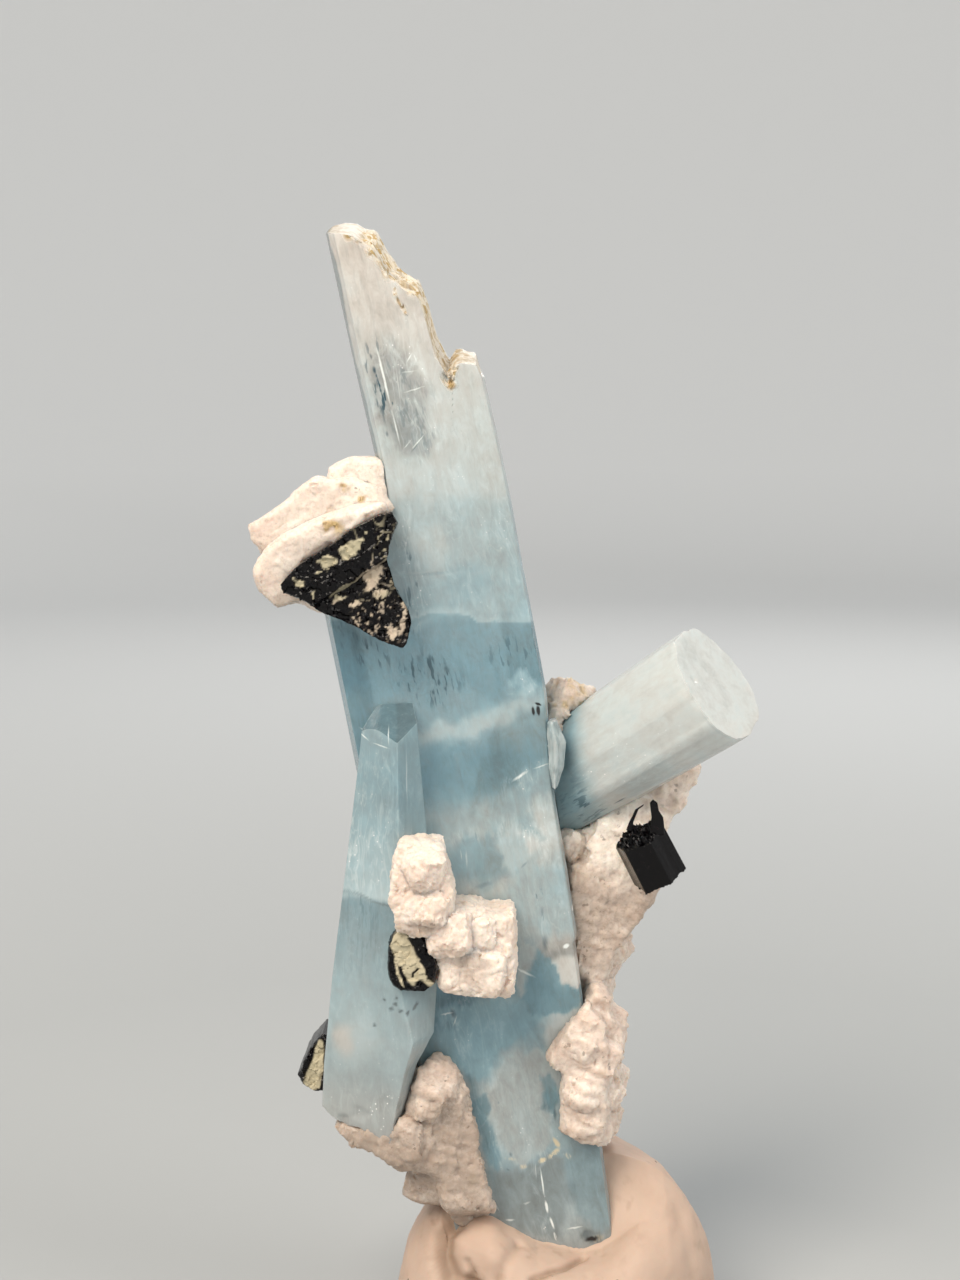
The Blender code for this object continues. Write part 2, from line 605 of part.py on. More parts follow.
def build():
    clear_scene()
    parts = new_collection(OBJECT_NAME)
    cutters = new_collection("cutters", hidden=True)
    beryl = principled("aquamarine_beryl", (0.36, 0.53, 0.6), 0.15, transmission=0.6, ior=1.58)
    albite = principled("albite_feldspar", (0.86, 0.74, 0.66), 0.75)
    tourmaline = principled("schorl_tourmaline", (0.012, 0.01, 0.013), 0.2)
    display_putty = principled("display_putty", (0.71, 0.53, 0.38), 0.85)

    def cutter(name, bm):
        return add_object(name + "_cutter", bm, cutters)

    top_break = broken_surface("top_break", cutters, MAIN_TOP_BREAK, 0.45, seed=3, dip=MAIN_TOP_DIP)
    foot_break = broken_surface("foot_break", cutters, MAIN_FOOT_BREAK, 0.4, seed=4, upwards=False)
    main_room = cutter("main", main_prism(GAP))
    front_room = cutter("front", front_prism(GAP))
    right_room = cutter("right", right_prism(GAP))
    blade_room = cutter("blade", blade(GAP))
    putty_room = cutter("putty", putty(GAP))
    rooms = {
        name: cutter(name, shape(GAP))
        for name, shape in (
            ("upper_schorl", upper_schorl), ("front_schorl", front_schorl),
            ("right_schorl", right_schorl), ("left_schorl", left_schorl),
        )
    }

    carve(add_object("main_crystal", main_prism(), parts, beryl), cut=[top_break, foot_break])
    carve(add_object("front_crystal", front_prism(), parts, beryl), cut=[main_room])
    carve(add_object("right_crystal", right_prism(), parts, beryl), cut=[main_room])
    carve(add_object("blade_crystal", blade(), parts, beryl), cut=[main_room, right_room])
    carve(add_object("upper_schorl", upper_schorl(), parts, tourmaline), cut=[main_room])
    carve(add_object("front_schorl", front_schorl(), parts, tourmaline), cut=[main_room, front_room])
    carve(add_object("right_schorl", right_schorl(), parts, tourmaline), cut=[main_room, right_room])
    carve(add_object("left_schorl", left_schorl(), parts, tourmaline), cut=[main_room, front_room])
    carve(add_object("mounting_putty", putty(), parts, display_putty), cut=[main_room])
    feldspar(
        "feldspar_matrix", MATRIX_SLABS, MATRIX_BLOCKS, 2, 21, 0.35, parts, albite,
        [main_room, front_room, right_room, blade_room, putty_room]
        + [rooms["right_schorl"], rooms["left_schorl"]],
    )
    feldspar(
        "upper_feldspar", UPPER_SLABS, UPPER_BLOCKS, 2, 8, -0.5, parts, albite,
        [main_room, rooms["upper_schorl"]],
    )
    feldspar(
        "front_feldspar", FRONT_SLABS, FRONT_BLOCKS, 1, 12, 0.12, parts, albite,
        [main_room, front_room, rooms["front_schorl"]],
    )


build()
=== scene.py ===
"""An aquamarine specimen dressed for its studio picture.

Pale blue beryl prisms, blocky albite feldspar and black schorl stand in a kneaded lump of display putty.
Lengths in the tables are millimetres and become metres when a mesh is made.
"""

import math

import bmesh
import bpy
import numpy as np
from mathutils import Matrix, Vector


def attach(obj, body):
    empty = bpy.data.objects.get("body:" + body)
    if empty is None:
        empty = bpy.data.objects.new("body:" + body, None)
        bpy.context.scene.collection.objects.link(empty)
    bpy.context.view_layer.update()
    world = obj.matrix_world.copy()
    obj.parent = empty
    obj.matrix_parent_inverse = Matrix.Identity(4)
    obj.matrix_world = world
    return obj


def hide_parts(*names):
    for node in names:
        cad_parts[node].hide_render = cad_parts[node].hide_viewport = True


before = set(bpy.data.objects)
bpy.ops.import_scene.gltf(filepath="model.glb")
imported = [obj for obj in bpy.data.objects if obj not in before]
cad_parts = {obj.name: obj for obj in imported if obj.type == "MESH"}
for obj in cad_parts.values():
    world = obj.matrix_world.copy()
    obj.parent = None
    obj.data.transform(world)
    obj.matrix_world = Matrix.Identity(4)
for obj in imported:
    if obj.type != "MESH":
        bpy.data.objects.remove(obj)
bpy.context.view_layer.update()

# The studio ------------------------------------------------------------------------------------------
# A shallow bowl of pale seamless paper, so that the floor runs up into the backdrop with no edge from
# any side.  Three soft boxes and a pale sky light it.  None of it is part of the object.


def linear(colour):
    """The linear red, green, blue and 1 of an sRGB colour such as "#8FB3C1"."""
    parts = np.array([int(colour[i : i + 2], 16) / 255.0 for i in (1, 3, 5)])
    parts = np.where(parts <= 0.04045, parts / 12.92, ((parts + 0.055) / 1.055) ** 2.4)
    return (*parts.tolist(), 1.0)


def add(tree, kind, settings=(), links=()):
    """Adds one shader node to tree.  settings are its properties or, by name or number, its inputs' values;
    links are its inputs by name or number, with the output that feeds each."""
    made = tree.nodes.new("ShaderNode" + kind)
    for key, value in dict(settings).items():
        if isinstance(key, str) and hasattr(made, key):
            setattr(made, key, value)
    for key, value in dict(settings).items():
        if not (isinstance(key, str) and hasattr(made, key)):
            made.inputs[key].default_value = value
    for key, source in dict(links).items():
        tree.links.new(source, made.inputs[key])
    return made


def finish_of(name):
    """A new empty node material, its tree and its output node."""
    made = bpy.data.materials.new(name)
    made.use_nodes = True
    made.node_tree.nodes.clear()
    return made, made.node_tree, add(made.node_tree, "OutputMaterial")


def sum_of(tree, total, *terms):
    """total + value * factor for each (value, factor) of terms in turn, kept from 0 to 1."""
    for value, factor in terms:
        settings = {"operation": "MULTIPLY_ADD", 1: factor, "use_clamp": True}
        total = add(tree, "Math", settings, {0: value, 2: total}).outputs[0]
    return total


def product(tree, factor, *terms):
    """All terms and factor multiplied, kept from 0 to 1.  A term is an output, or an output with two
    limits, which rises in an S curve from 0 at the first limit to 1 at the second."""
    shown = None
    for term in terms:
        if isinstance(term, tuple):
            settings = {"interpolation_type": "SMOOTHSTEP", "From Min": term[1], "From Max": term[2]}
            term = add(tree, "MapRange", settings, {"Value": term[0]}).outputs[0]
        if shown is not None:
            term = add(tree, "Math", {"operation": "MULTIPLY"}, {0: shown, 1: term}).outputs[0]
        shown = term
    return add(tree, "Math", {"operation": "MULTIPLY", 1: factor, "use_clamp": True}, {0: shown}).outputs[0]


def layered(tree, colour, *layers):
    """colour under layers, each a share and the colour that covers what is below by that share.  A colour
    is a hex string or an output."""
    for share, over in layers:
        sides = {6: colour, 7: over}
        settings = {key: linear(value) for key, value in sides.items() if isinstance(value, str)}
        links = {key: value for key, value in sides.items() if not isinstance(value, str)}
        colour = add(tree, "Mix", {"data_type": "RGBA", **settings}, {0: share, **links}).outputs[2]
    return colour


PAPER_FLAT, PAPER_BEND = 1.3, 0.8  # metres: radius of the flat floor, and of the bend up into the wall
turn = np.linspace(0.0, math.tau, 97)[:-1]
bend = np.linspace(0.0, math.pi / 2.0, 17)
paper_reach = np.concatenate([[0.12, 0.4, 0.8], PAPER_FLAT + PAPER_BEND * np.sin(bend)])
paper_rise = np.concatenate([[0.0, 0.0, 0.0], PAPER_BEND * (1.0 - np.cos(bend))])
paper_reach = np.append(paper_reach, paper_reach[-1])
paper_rise = np.append(paper_rise, 1.0)
rings = np.stack(
    [np.outer(paper_reach, np.cos(turn)), np.outer(paper_reach, np.sin(turn)),
     np.repeat(paper_rise[:, None], turn.size, 1)], -1,
)
index = np.arange(rings[..., 0].size).reshape(rings.shape[:2])
after = np.roll(index, -1, 1)
sheets = np.stack([index[:-1], index[1:], after[1:], after[:-1]], -1).reshape(-1, 4).tolist()
mesh = bpy.data.meshes.new("studio_paper")
mesh.from_pydata(rings.reshape(-1, 3).tolist(), [], sheets + [index[0].tolist()])
mesh.shade_smooth()
studio_paper = bpy.data.objects.new("studio_paper", mesh)
bpy.context.scene.collection.objects.link(studio_paper)
paper, tree, out = finish_of("graduated_paper")
# Matt pulp paper, printed a deeper grey in the middle so that the floor and the far wall look alike; the
# grain is far too fine to see.
from_middle = add(tree, "VectorMath", {"operation": "LENGTH"}, {0: add(tree, "TexCoord").outputs["Object"]})
printed = add(tree, "MapRange", {"From Min": 0.2, "From Max": 1.7}, {"Value": from_middle.outputs["Value"]})
grey = add(
    tree, "Mix", {"data_type": "RGBA", 6: linear("#A9ABAB"), 7: linear("#F2F2F1")}, {0: printed.outputs[0]},
)
sheen = add(
    tree, "BsdfPrincipled", {"Roughness": 0.95, "Specular IOR Level": 0.1}, {"Base Color": grey.outputs[2]},
)
tree.links.new(sheen.outputs[0], out.inputs["Surface"])
mesh.materials.append(paper)

SOFT_BOXES = (  # name, place, width, height, watts, colour: metres
    ("key", (-0.42, -0.62, 0.85), 0.5, 0.6, 12.5, "#FFF4E6"),
    ("side", (0.75, -0.4, 0.55), 0.45, 0.7, 3.5, "#FFFAF2"),
    ("back", (0.25, 0.8, 0.75), 0.8, 0.35, 4.0, "#FFFFFF"),
)
for name, place, width, height, watts, colour in SOFT_BOXES:
    lamp = bpy.data.lights.new("soft_box_" + name, "AREA")
    lamp.shape = "RECTANGLE"
    lamp.size, lamp.size_y, lamp.energy, lamp.color = width, height, watts, linear(colour)[:3]
    box = bpy.data.objects.new("soft_box_" + name, lamp)
    box.location = place
    box.rotation_euler = (Vector((0.0, 0.0, 0.09)) - Vector(place)).to_track_quat("-Z", "Y").to_euler()
    bpy.context.scene.collection.objects.link(box)

sky = bpy.data.worlds.new("studio_sky")
sky.use_nodes = True
sky.node_tree.nodes["Background"].inputs["Color"].default_value = linear("#DFE3E6")
sky.node_tree.nodes["Background"].inputs["Strength"].default_value = 0.62
bpy.context.scene.world = sky
bpy.context.scene.view_settings.view_transform = "Standard"

camera_data = bpy.data.cameras.new("studio_camera")
camera_data.lens, camera_data.sensor_width = 50.0, 36.0
camera_data.clip_start, camera_data.clip_end = 0.01, 20.0
camera = bpy.data.objects.new("studio_camera", camera_data)
camera.location = (-0.0110, -0.2650, 0.1417)
camera.rotation_euler = (math.radians(90.0 - 6.5), 0.0, 0.0)
bpy.context.scene.collection.objects.link(camera)
bpy.context.scene.camera = camera


# The tall prism --------------------------------------------------------------------------------------
# One beryl crystal: a flattened hexagonal prism that leans left, wider below its shoulder, snapped off at
# the top, with its foot pressed into the putty.  Blue zones and milky veils run through it.
MAIN_FOOT = 14.5  # mm up: the foot, broken off inside the putty
MAIN_SHOULDER = 121.6
MAIN_NECK = 122.4  # where the narrower part above the shoulder begins
MAIN_LEAN = 0.19  # mm to the left for each mm up
MAIN_LEVELS = np.array([  # height, left edge, right edge, width of the narrow face left of the broad front
    (14.0, -14.2, 10.6, 1.2), (23.0, -16.0, 9.2, 1.2), (50.0, -21.3, 5.5, 1.2), (66.6, -24.5, 3.3, 1.2),
    (67.4, -24.7, 3.6, 1.2), (77.7, -26.7, 2.0, 1.2), (88.0, -28.7, 0.2, 1.2), (104.5, -31.9, -1.2, 1.2),
    (121.6, -35.2, -4.4, 1.2), (122.4, -26.6, -4.6, 1.5), (131.0, -25.4, -6.1, 1.5),
    (138.5, -26.4, -7.6, 1.5), (153.0, -29.6, -11.0, 1.5), (180.0, -35.2, -16.8, 1.5),
])
MAIN_DEPTHS = np.array([-2.2, -4.6, -7.5, -6.5, -4.7, 3.0, 7.5, 7.5, 3.4])
MAIN_UPPER_DEPTH = -7.2  # of the third corner above the shoulder, so that the broad face stays one plane
MAIN_BREAK = np.array([  # across, height of the broken top
    (-40.0, 170.4), (-34.6, 170.8), (-32.6, 172.0), (-31.1, 172.2), (-29.5, 171.9), (-27.7, 170.8),
    (-26.4, 170.1), (-25.2, 168.0), (-24.0, 166.2), (-22.3, 164.8), (-20.1, 163.4), (-19.0, 160.8),
    (-17.7, 155.7), (-16.4, 153.2), (-15.5, 151.9), (-14.6, 153.5), (-13.6, 153.8), (-11.6, 153.4),
    (-10.9, 151.8), (-4.0, 149.0),
])


def smooth(low, high, value):
    """0 below low, 1 above high, and an S-shaped rise between them."""
    share = np.clip((value - low) / (high - low), 0.0, 1.0)
    return share * share * (3.0 - 2.0 * share)


def lattice(cells, seed):
    """A number from 0 to 1 for each box of a lattice: its three whole numbers, multiplied by odd constants,
    added, and stirred by shifts."""
    key = cells.astype(np.int64).view(np.uint64)
    mixed = key[..., 0] * np.uint64(0x9E3779B185EBCA87) + key[..., 1] * np.uint64(0xC2B2AE3D27D4EB4F)
    mixed = mixed + key[..., 2] * np.uint64(0x165667B19E3779F9) + np.uint64(seed * 7919 + 17)
    mixed = (mixed ^ (mixed >> np.uint64(31))) * np.uint64(0xD6E8FEB86659FD93)
    mixed = (mixed ^ (mixed >> np.uint64(29))) * np.uint64(0xD6E8FEB86659FD93)
    return (mixed >> np.uint64(40)).astype(float) / float(1 << 24)


def cloud(points, size, seed, octaves=3):
    """Soft noise from -1 to 1: random numbers at the corners of boxes of size mm, blended along S curves.
    Each further octave has boxes half as wide and counts half as much."""
    total, weight = 0.0, 0.0
    for octave in range(octaves):
        at = points / (np.asarray(size, float) * 0.5**octave)
        low = np.floor(at)
        part = at - low
        part = part * part * (3.0 - 2.0 * part)
        value = 0.0
        for corner in range(8):
            step = np.array([corner & 1, corner >> 1 & 1, corner >> 2 & 1])
            share = np.prod(np.where(step, part, 1.0 - part), axis=-1)
            value = value + share * lattice(low + step, seed + octave)
        total = total + value * 0.5**octave
        weight += 0.5**octave
    return 2.0 * total / weight - 1.0


def crumbs(points, size, seed):
    """The random point nearest to each of points, with one such point in every box of size mm: its
    distance, how much further the second nearest is, and a number of its own from 0 to 1."""
    at = points / size
    low = np.floor(at)
    near = np.full(at.shape[:-1], 9.0)
    second, own = near.copy(), near.copy()
    for i in range(27):
        cell = low + np.array([i % 3, i // 3 % 3, i // 9]) - 1.0
        centre = cell + np.stack([lattice(cell, seed + k) for k in (1, 2, 3)], -1)
        far = np.linalg.norm(at - centre, axis=-1)
        closer = far < near
        second = np.where(closer, near, np.minimum(second, far))
        own = np.where(closer, lattice(cell, seed + 4), own)
        near = np.where(closer, far, near)
    return near * size, (second - near) * size, own


def settle(name, points, faces, shades, finish, crease):
    """Makes an object of points in mm and lists of faces, turned so that the closed skin points outwards.
    shades are attributes, one value or one vector a point; edges bent by more than crease degrees stay
    sharp."""
    three = faces[0]
    corners = points[three]
    swept = np.einsum("ij,ij->i", corners[:, 0], np.cross(corners[:, 1], corners[:, 2])).sum()
    if three.shape[1] == 4:
        swept += np.einsum("ij,ij->i", corners[:, 0], np.cross(corners[:, 2], corners[:, 3])).sum()
    way = 1 if swept > 0.0 else -1
    mesh = bpy.data.meshes.new(name)
    mesh.from_pydata((points * 0.001).tolist(), [], sum([part[:, ::way].tolist() for part in faces], []))
    for key, values in shades.items():
        kind, field = ("FLOAT_VECTOR", "vector") if values.size == points.size else ("FLOAT", "value")
        mesh.attributes.new(key, kind, "POINT").data.foreach_set(field, np.ravel(values).astype(np.float32))
    mesh.shade_smooth()
    mesh.set_sharp_from_angle(angle=math.radians(crease))
    mesh.materials.append(finish)
    made = bpy.data.objects.new(name, mesh)
    bpy.context.scene.collection.objects.link(made)
    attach(made, "root")
    return made


def skin(name, grid, shades, finish, crease=30.0):
    """A closed mesh from a grid of points in mm.  Rows run from one pole to the other and columns go
    round; the first and last rows each become one point."""
    rows, columns = grid.shape[:2]

    def flat(values):
        values = np.broadcast_to(values, (rows, columns)) if np.ndim(values) < 3 else values
        inner = values[1:-1].reshape((rows - 2) * columns, -1)
        return np.concatenate([values[:1].reshape(1, columns, -1).mean(1), inner,
                               values[-1:].reshape(1, columns, -1).mean(1)])

    index = np.arange((rows - 2) * columns).reshape(rows - 2, columns) + 1
    after = np.roll(index, -1, 1)
    quads = np.stack([index[:-1], after[:-1], after[1:], index[1:]], -1).reshape(-1, 4)
    foot = np.stack([np.zeros_like(after[0]), after[0], index[0]], -1)
    tip = np.stack([np.full_like(after[-1], (rows - 2) * columns + 1), index[-1], after[-1]], -1)
    shades = {key: flat(values) for key, values in shades.items()}
    return settle(name, flat(grid), [quads, foot, tip], shades, finish, crease)


def columns_of(corners, spacing, edge=0.12):
    """Where the columns of a prism stand: the side and the share of that side for each.  They are
    spacing mm apart, one value a side, and stop edge mm short of each corner, so that every edge is a
    narrow bevel."""
    sides, shares = [], []
    for i, (one, two) in enumerate(zip(corners, np.roll(corners, -1, 0))):
        length = max(float(np.linalg.norm(two - one)), 3.0 * edge)
        count = max(2, int(round(length / spacing[i])) + 1)
        sides.append(np.full(count, i))
        shares.append(np.linspace(edge / length, 1.0 - edge / length, count))
    return np.concatenate(sides), np.concatenate(shares)


def patch(x, z, centre, half, lean=0.0, soft=0.35):
    """1 inside an ellipse round centre with half sizes half, turned by lean degrees, fading to 0 outside."""
    turn = math.radians(lean)
    across, along = x - centre[0], z - centre[1]
    u = across * math.cos(turn) + along * math.sin(turn)
    w = along * math.cos(turn) - across * math.sin(turn)
    return 1.0 - smooth(1.0 - soft, 1.0 + soft, np.hypot(u / half[0], w / half[1]))


def painted(x, z, marks):
    """The sum of soft ellipses.  Each mark is: centre x and z, half sizes, lean, softness, amount."""
    total = 0.0 * x
    for across, high, wide, tall, lean, soft, amount in marks:
        total += amount * patch(x, z, (across, high), (wide, tall), lean, 0.65 * soft)
    return total


def near_path(points, path):
    """The distance from each of points to a line through the points of path, in two or three dimensions."""
    path = np.array(path, float)
    near = np.full(points.shape[:-1], 1e9)
    for one, two in zip(path, path[1:]):
        run = two - one
        share = np.clip(((points - one) @ run) / (run @ run), 0.0, 1.0)
        near = np.minimum(near, np.linalg.norm(points - one - share[..., None] * run, axis=-1))
    return near


def enclosed(x, z, corners):
    """How far points lie inside a closed outline: positive inside it, negative outside."""
    ring = np.array(corners + corners[:1])
    crossed = np.zeros(x.shape, int)
    for one, two in zip(ring, ring[1:]):
        across = one[0] + (z - one[1]) * (two[0] - one[0]) / (two[1] - one[1] + 1e-9)
        crossed += ((one[1] > z) != (two[1] > z)) & (x < across)
    return near_path(np.stack([x, z], -1), ring) * np.where(crossed % 2 == 1, 1.0, -1.0)


def on_section(across, deep, side, share):
    """Points of sections whose corners stand at across and deep, the last axis going round: share of the
    way along a side.  Also gives that side's outward direction."""
    pick = np.broadcast_to(side, across.shape[:-1])[..., None]
    (x0, x1), (y0, y1) = (
        [np.take_along_axis(places, (pick + k) % places.shape[-1], -1)[..., 0] for k in (0, 1)]
        for places in (across, deep)
    )
    run = np.hypot(x1 - x0, y1 - y0)
    return x0 + (x1 - x0) * share, y0 + (y1 - y0) * share, (y1 - y0) / run, -(x1 - x0) / run


def closed(walls, shrink, foot, top):
    """The walls of a prism with its ends: rings that shrink from the walls' first and last rows to their
    middles, at the heights that foot and top give.  Also gives 1 on the top and 0 elsewhere."""
    ends = []
    for ring, shares, height in ((walls[0], shrink[::-1], foot), (walls[-1], shrink, top)):
        middle = np.append(ring[:, :2].mean(0), 0.0)
        end = middle + (ring - middle) * shares
        end[..., 2] = height(end)
        ends.append(end)
    grid = np.concatenate([ends[0], walls, ends[1]])
    on_cap = np.zeros(grid.shape[:2])
    on_cap[-shrink.size :] = 1.0
    return grid, on_cap


def main_outline(height, side, share):
    """A point of the flattened hexagon at each height, and its side's outward direction.  The corners
    follow the table of levels."""
    left, right, narrow = (np.interp(height, MAIN_LEVELS[:, 0], MAIN_LEVELS[:, i]) for i in (1, 2, 3))
    across = np.stack([left, left + 0.5, left + narrow, right - 0.5, right, right - 0.3, right - 5.5,
                       left + 4.5, left + 0.3], -1)
    deep = np.broadcast_to(MAIN_DEPTHS, across.shape).copy()
    deep[..., 2] = np.where(height > MAIN_SHOULDER + 0.4, MAIN_UPPER_DEPTH, MAIN_DEPTHS[2])
    return on_section(across, deep, side, share)


def main_top(x, y):
    """The height of the snapped top: a profile across, falling 0.23 mm for each mm towards the front,
    with hackly steps of 1 to 3 mm and grit on them."""
    at = np.stack([x, y, np.zeros_like(x)], -1)
    step = crumbs(at, 2.6, 31)[2] - 0.5
    grit = crumbs(at, 0.9, 37)[2] - 0.5
    hackly = smooth(-29.0, -26.8, x) * (1.0 - 0.7 * smooth(-15.4, -14.2, x))
    return np.interp(x, MAIN_BREAK[:, 0], MAIN_BREAK[:, 1]) + 0.23 * y + hackly * (0.9 * step + 0.35 * grit)


middle = np.array([[-22.0, -2.2], [-21.5, -4.6], [-20.0, -7.5], [4.0, -6.5], [4.5, -4.7], [4.2, 3.0],
                   [-1.0, 7.5], [-17.5, 7.5], [-21.7, 3.4]])
side, share = columns_of(middle, (0.5, 0.3, 0.3, 0.3, 0.45, 0.5, 0.6, 0.6, 0.5))
up_low = np.linspace(0.0, 1.0, 310)[:, None]
up_high = np.linspace(0.0, 1.0, 140)[:, None]
z = np.concatenate([MAIN_FOOT + up_low * (MAIN_SHOULDER - MAIN_FOOT), MAIN_NECK + up_high * 45.0])
z = z + 0.0 * share
foot_z = z[: up_low.size]
for _ in range(24):  # the top's height and the lean depend on each other, and settle together
    x, y, nx, ny = main_outline(z, side, share)
    top = main_top(x[-up_high.size :], y[-up_high.size :])
    z = np.concatenate([foot_z, MAIN_NECK + up_high * (top - MAIN_NECK)])
x, y, nx, ny = main_outline(z, side, share)
# Grit lies in knobs along the upper part of the break, and thinly along its edge down to the notch.
GRIT_KNOBS = ((-28.4, 171.0), (-26.2, 170.0), (-24.6, 167.8), (-23.6, 165.6), (-22.0, 164.9), (-20.6, 164.0))
GRIT_EDGE = ((-20.6, 164.0), (-19.0, 162.6), (-18.1, 160.2), (-17.3, 156.8), (-16.2, 154.4))
GRIT_NOTCH = ((-16.6, 154.2), (-15.2, 151.6), (-15.3, 149.4))
GRIT_TRAIL = ((-24.6, 166.0), (-23.2, 163.4), (-22.7, 161.0), (-21.1, 158.7))


def gritty(x, z):
    """1 on the grit, 0 away from it, with a ragged edge."""
    flat = np.stack([x, z], -1)
    ragged = cloud(np.stack([x, 0.0 * x, z], -1), 1.5, 43, 3)
    knobs = smooth(2.2, 0.9, near_path(flat, GRIT_KNOBS) + 1.0 * ragged)
    edge = smooth(0.8, 0.3, near_path(flat, GRIT_EDGE) + 0.5 * ragged)
    notch = smooth(1.2, 0.5, near_path(flat, GRIT_NOTCH) + 0.7 * ragged)
    trail = 0.8 * smooth(0.35, 0.1, near_path(flat, GRIT_TRAIL) + 0.9 * ragged + 0.15)
    return np.maximum(np.maximum(knobs, edge), np.maximum(notch, trail))


at = np.stack([x + MAIN_LEAN * z, y, z], -1)
ribs = cloud(at, (0.5, 0.5, 34.0), 3, 2) * 0.03 + cloud(at, (2.4, 2.4, 60.0), 5, 1) * 0.05
chips = smooth(0.62, 0.8, cloud(at, (3.0, 3.0, 1.6), 9, 2)) * (np.minimum(share, 1.0 - share) < 0.03) * 0.28
swell = cloud(at, (14.0, 14.0, 26.0), 7, 2) * 0.07
crumble = (crumbs(at, 0.9, 45)[2] - 0.5) * 0.8 + (crumbs(at, 0.45, 47)[2] - 0.5) * 0.4
lift = ribs + swell - chips + crumble * gritty(x, z) * (y < -3.0)
x, y = x + nx * lift, y + ny * lift
walls = np.stack([x, y, z], -1)
shrink = np.linspace(1.0, 0.0, 27)[1:, None, None] ** 0.85
grid, on_cap = closed(
    walls, shrink, lambda sole: MAIN_FOOT + 0.5 * cloud(sole * (1.0, 1.0, 0.0), 2.0, 41, 2),
    lambda cap: main_top(cap[..., 0], cap[..., 1]),
)

# The places of the zones, with edges that wander by about a millimetre.
grain = grid + np.array([MAIN_LEAN, 0.0, 0.0]) * grid[..., 2:]
x = grid[..., 0] + 1.5 * cloud(grid, 5.0, 49, 2) + 1.1 * cloud(grid, 1.7, 53, 3)
z = grid[..., 2] + 1.5 * cloud(grid, 5.0, 50, 2) + 1.1 * cloud(grid, 1.7, 54, 3)
y = grid[..., 1]
wander = cloud(grid, 9.0, 51, 3)
feather = 0.5 + 0.5 * cloud(grain, (1.3, 1.3, 11.0), 61, 3)
level = z + 0.8 * wander
seam = 114.9 + 1.3 * smooth(-11.5, -13.5, x) - 0.9 * smooth(-17.5, -21.5, x) + 0.35 * cloud(grid, 2.2, 57, 3)
above = smooth(-0.1, 0.1, grid[..., 2] - seam)

# Depth of blue: by height, then by place.
blue = np.interp(
    level, [14, 22, 30, 36, 43, 50, 54, 58, 64, 67.5, 71, 76, 78.5, 82, 86, 89, 96, 98.5, 102, 106, 115],
    [0.62, 0.66, 0.58, 0.48, 0.44, 0.54, 0.68, 0.72, 0.66, 0.3, 0.14, 0.22, 0.3, 0.24, 0.3, 0.46, 0.52, 0.44,
     0.46, 0.6, 0.5],
)
pale = np.interp(
    level, [115, 119, 124, 132, 134, 146, 156, 172], [0.38, 0.36, 0.3, 0.27, 0.18, 0.12, 0.06, 0.02],
)
blue = blue * (1.0 - above) + pale * above + 0.08 * wander
blue += painted(x, z, (
    (-11.5, 92.8, 8.5, 4.2, 4.0, 0.8, 0.16), (-11.7, 78.8, 4.4, 2.6, 0.0, 0.7, 0.2),
    (-1.0, 86.0, 3.4, 6.0, -8.0, 1.2, -0.26), (-0.6, 76.0, 3.0, 4.5, 0.0, 1.2, -0.08),
    (-5.6, 80.6, 2.3, 2.9, 0.0, 0.6, -0.08), (-13.6, 46.0, 2.6, 5.4, 14.0, 0.8, 0.16),
    (-16.0, 58.4, 2.6, 3.6, 0.0, 0.9, 0.1), (-9.6, 52.6, 2.4, 3.0, 0.0, 0.8, 0.06),
    (0.6, 57.4, 3.4, 3.0, 0.0, 1.0, -0.2),
    (-13.8, 54.5, 4.4, 5.0, 0.0, 0.8, 0.14), (-3.4, 63.6, 2.6, 3.0, 0.0, 0.8, 0.12),
    (1.2, 62.2, 2.9, 2.8, 0.0, 0.5, -0.42), (-8.0, 57.0, 3.4, 3.0, 20.0, 1.1, -0.24),
    (-4.2, 47.6, 5.0, 6.4, 10.0, 1.0, -0.1), (-7.0, 38.6, 2.6, 6.6, 4.0, 0.7, -0.08),
    (-0.5, 55.0, 3.0, 2.0, 0.0, 0.8, -0.16), (-14.5, 61.5, 2.6, 2.2, 0.0, 0.8, -0.1),
    (5.4, 31.0, 2.8, 4.6, 8.0, 0.6, 0.26), (-0.4, 43.2, 1.2, 2.6, 0.0, 0.5, 0.36),
    (-12.4, 42.0, 1.8, 10.0, 12.0, 0.7, 0.2), (-8.6, 27.0, 2.4, 4.6, 10.0, 0.8, 0.16),
    (-6.8, 42.0, 2.6, 6.0, 0.0, 0.8, -0.14), (-31.0, 106.0, 3.4, 11.0, 10.0, 0.7, 0.2),
    (-13.0, 120.4, 3.0, 3.0, 0.0, 0.9, 0.1), (-18.2, 125.6, 2.6, 3.0, 0.0, 0.9, -0.1),
))
band = near_path(np.stack([x, z], -1), ((-21.0, 97.2), (-12.0, 99.6), (-1.0, 104.0)))
arc = near_path(np.stack([x, z], -1), ((-16.5, 76.2), (-10.5, 76.2), (-6.0, 78.0), (-2.0, 81.2)))
blue += 0.14 * smooth(1.6, 0.2, arc) - 0.16 * smooth(2.6, 0.4, band)

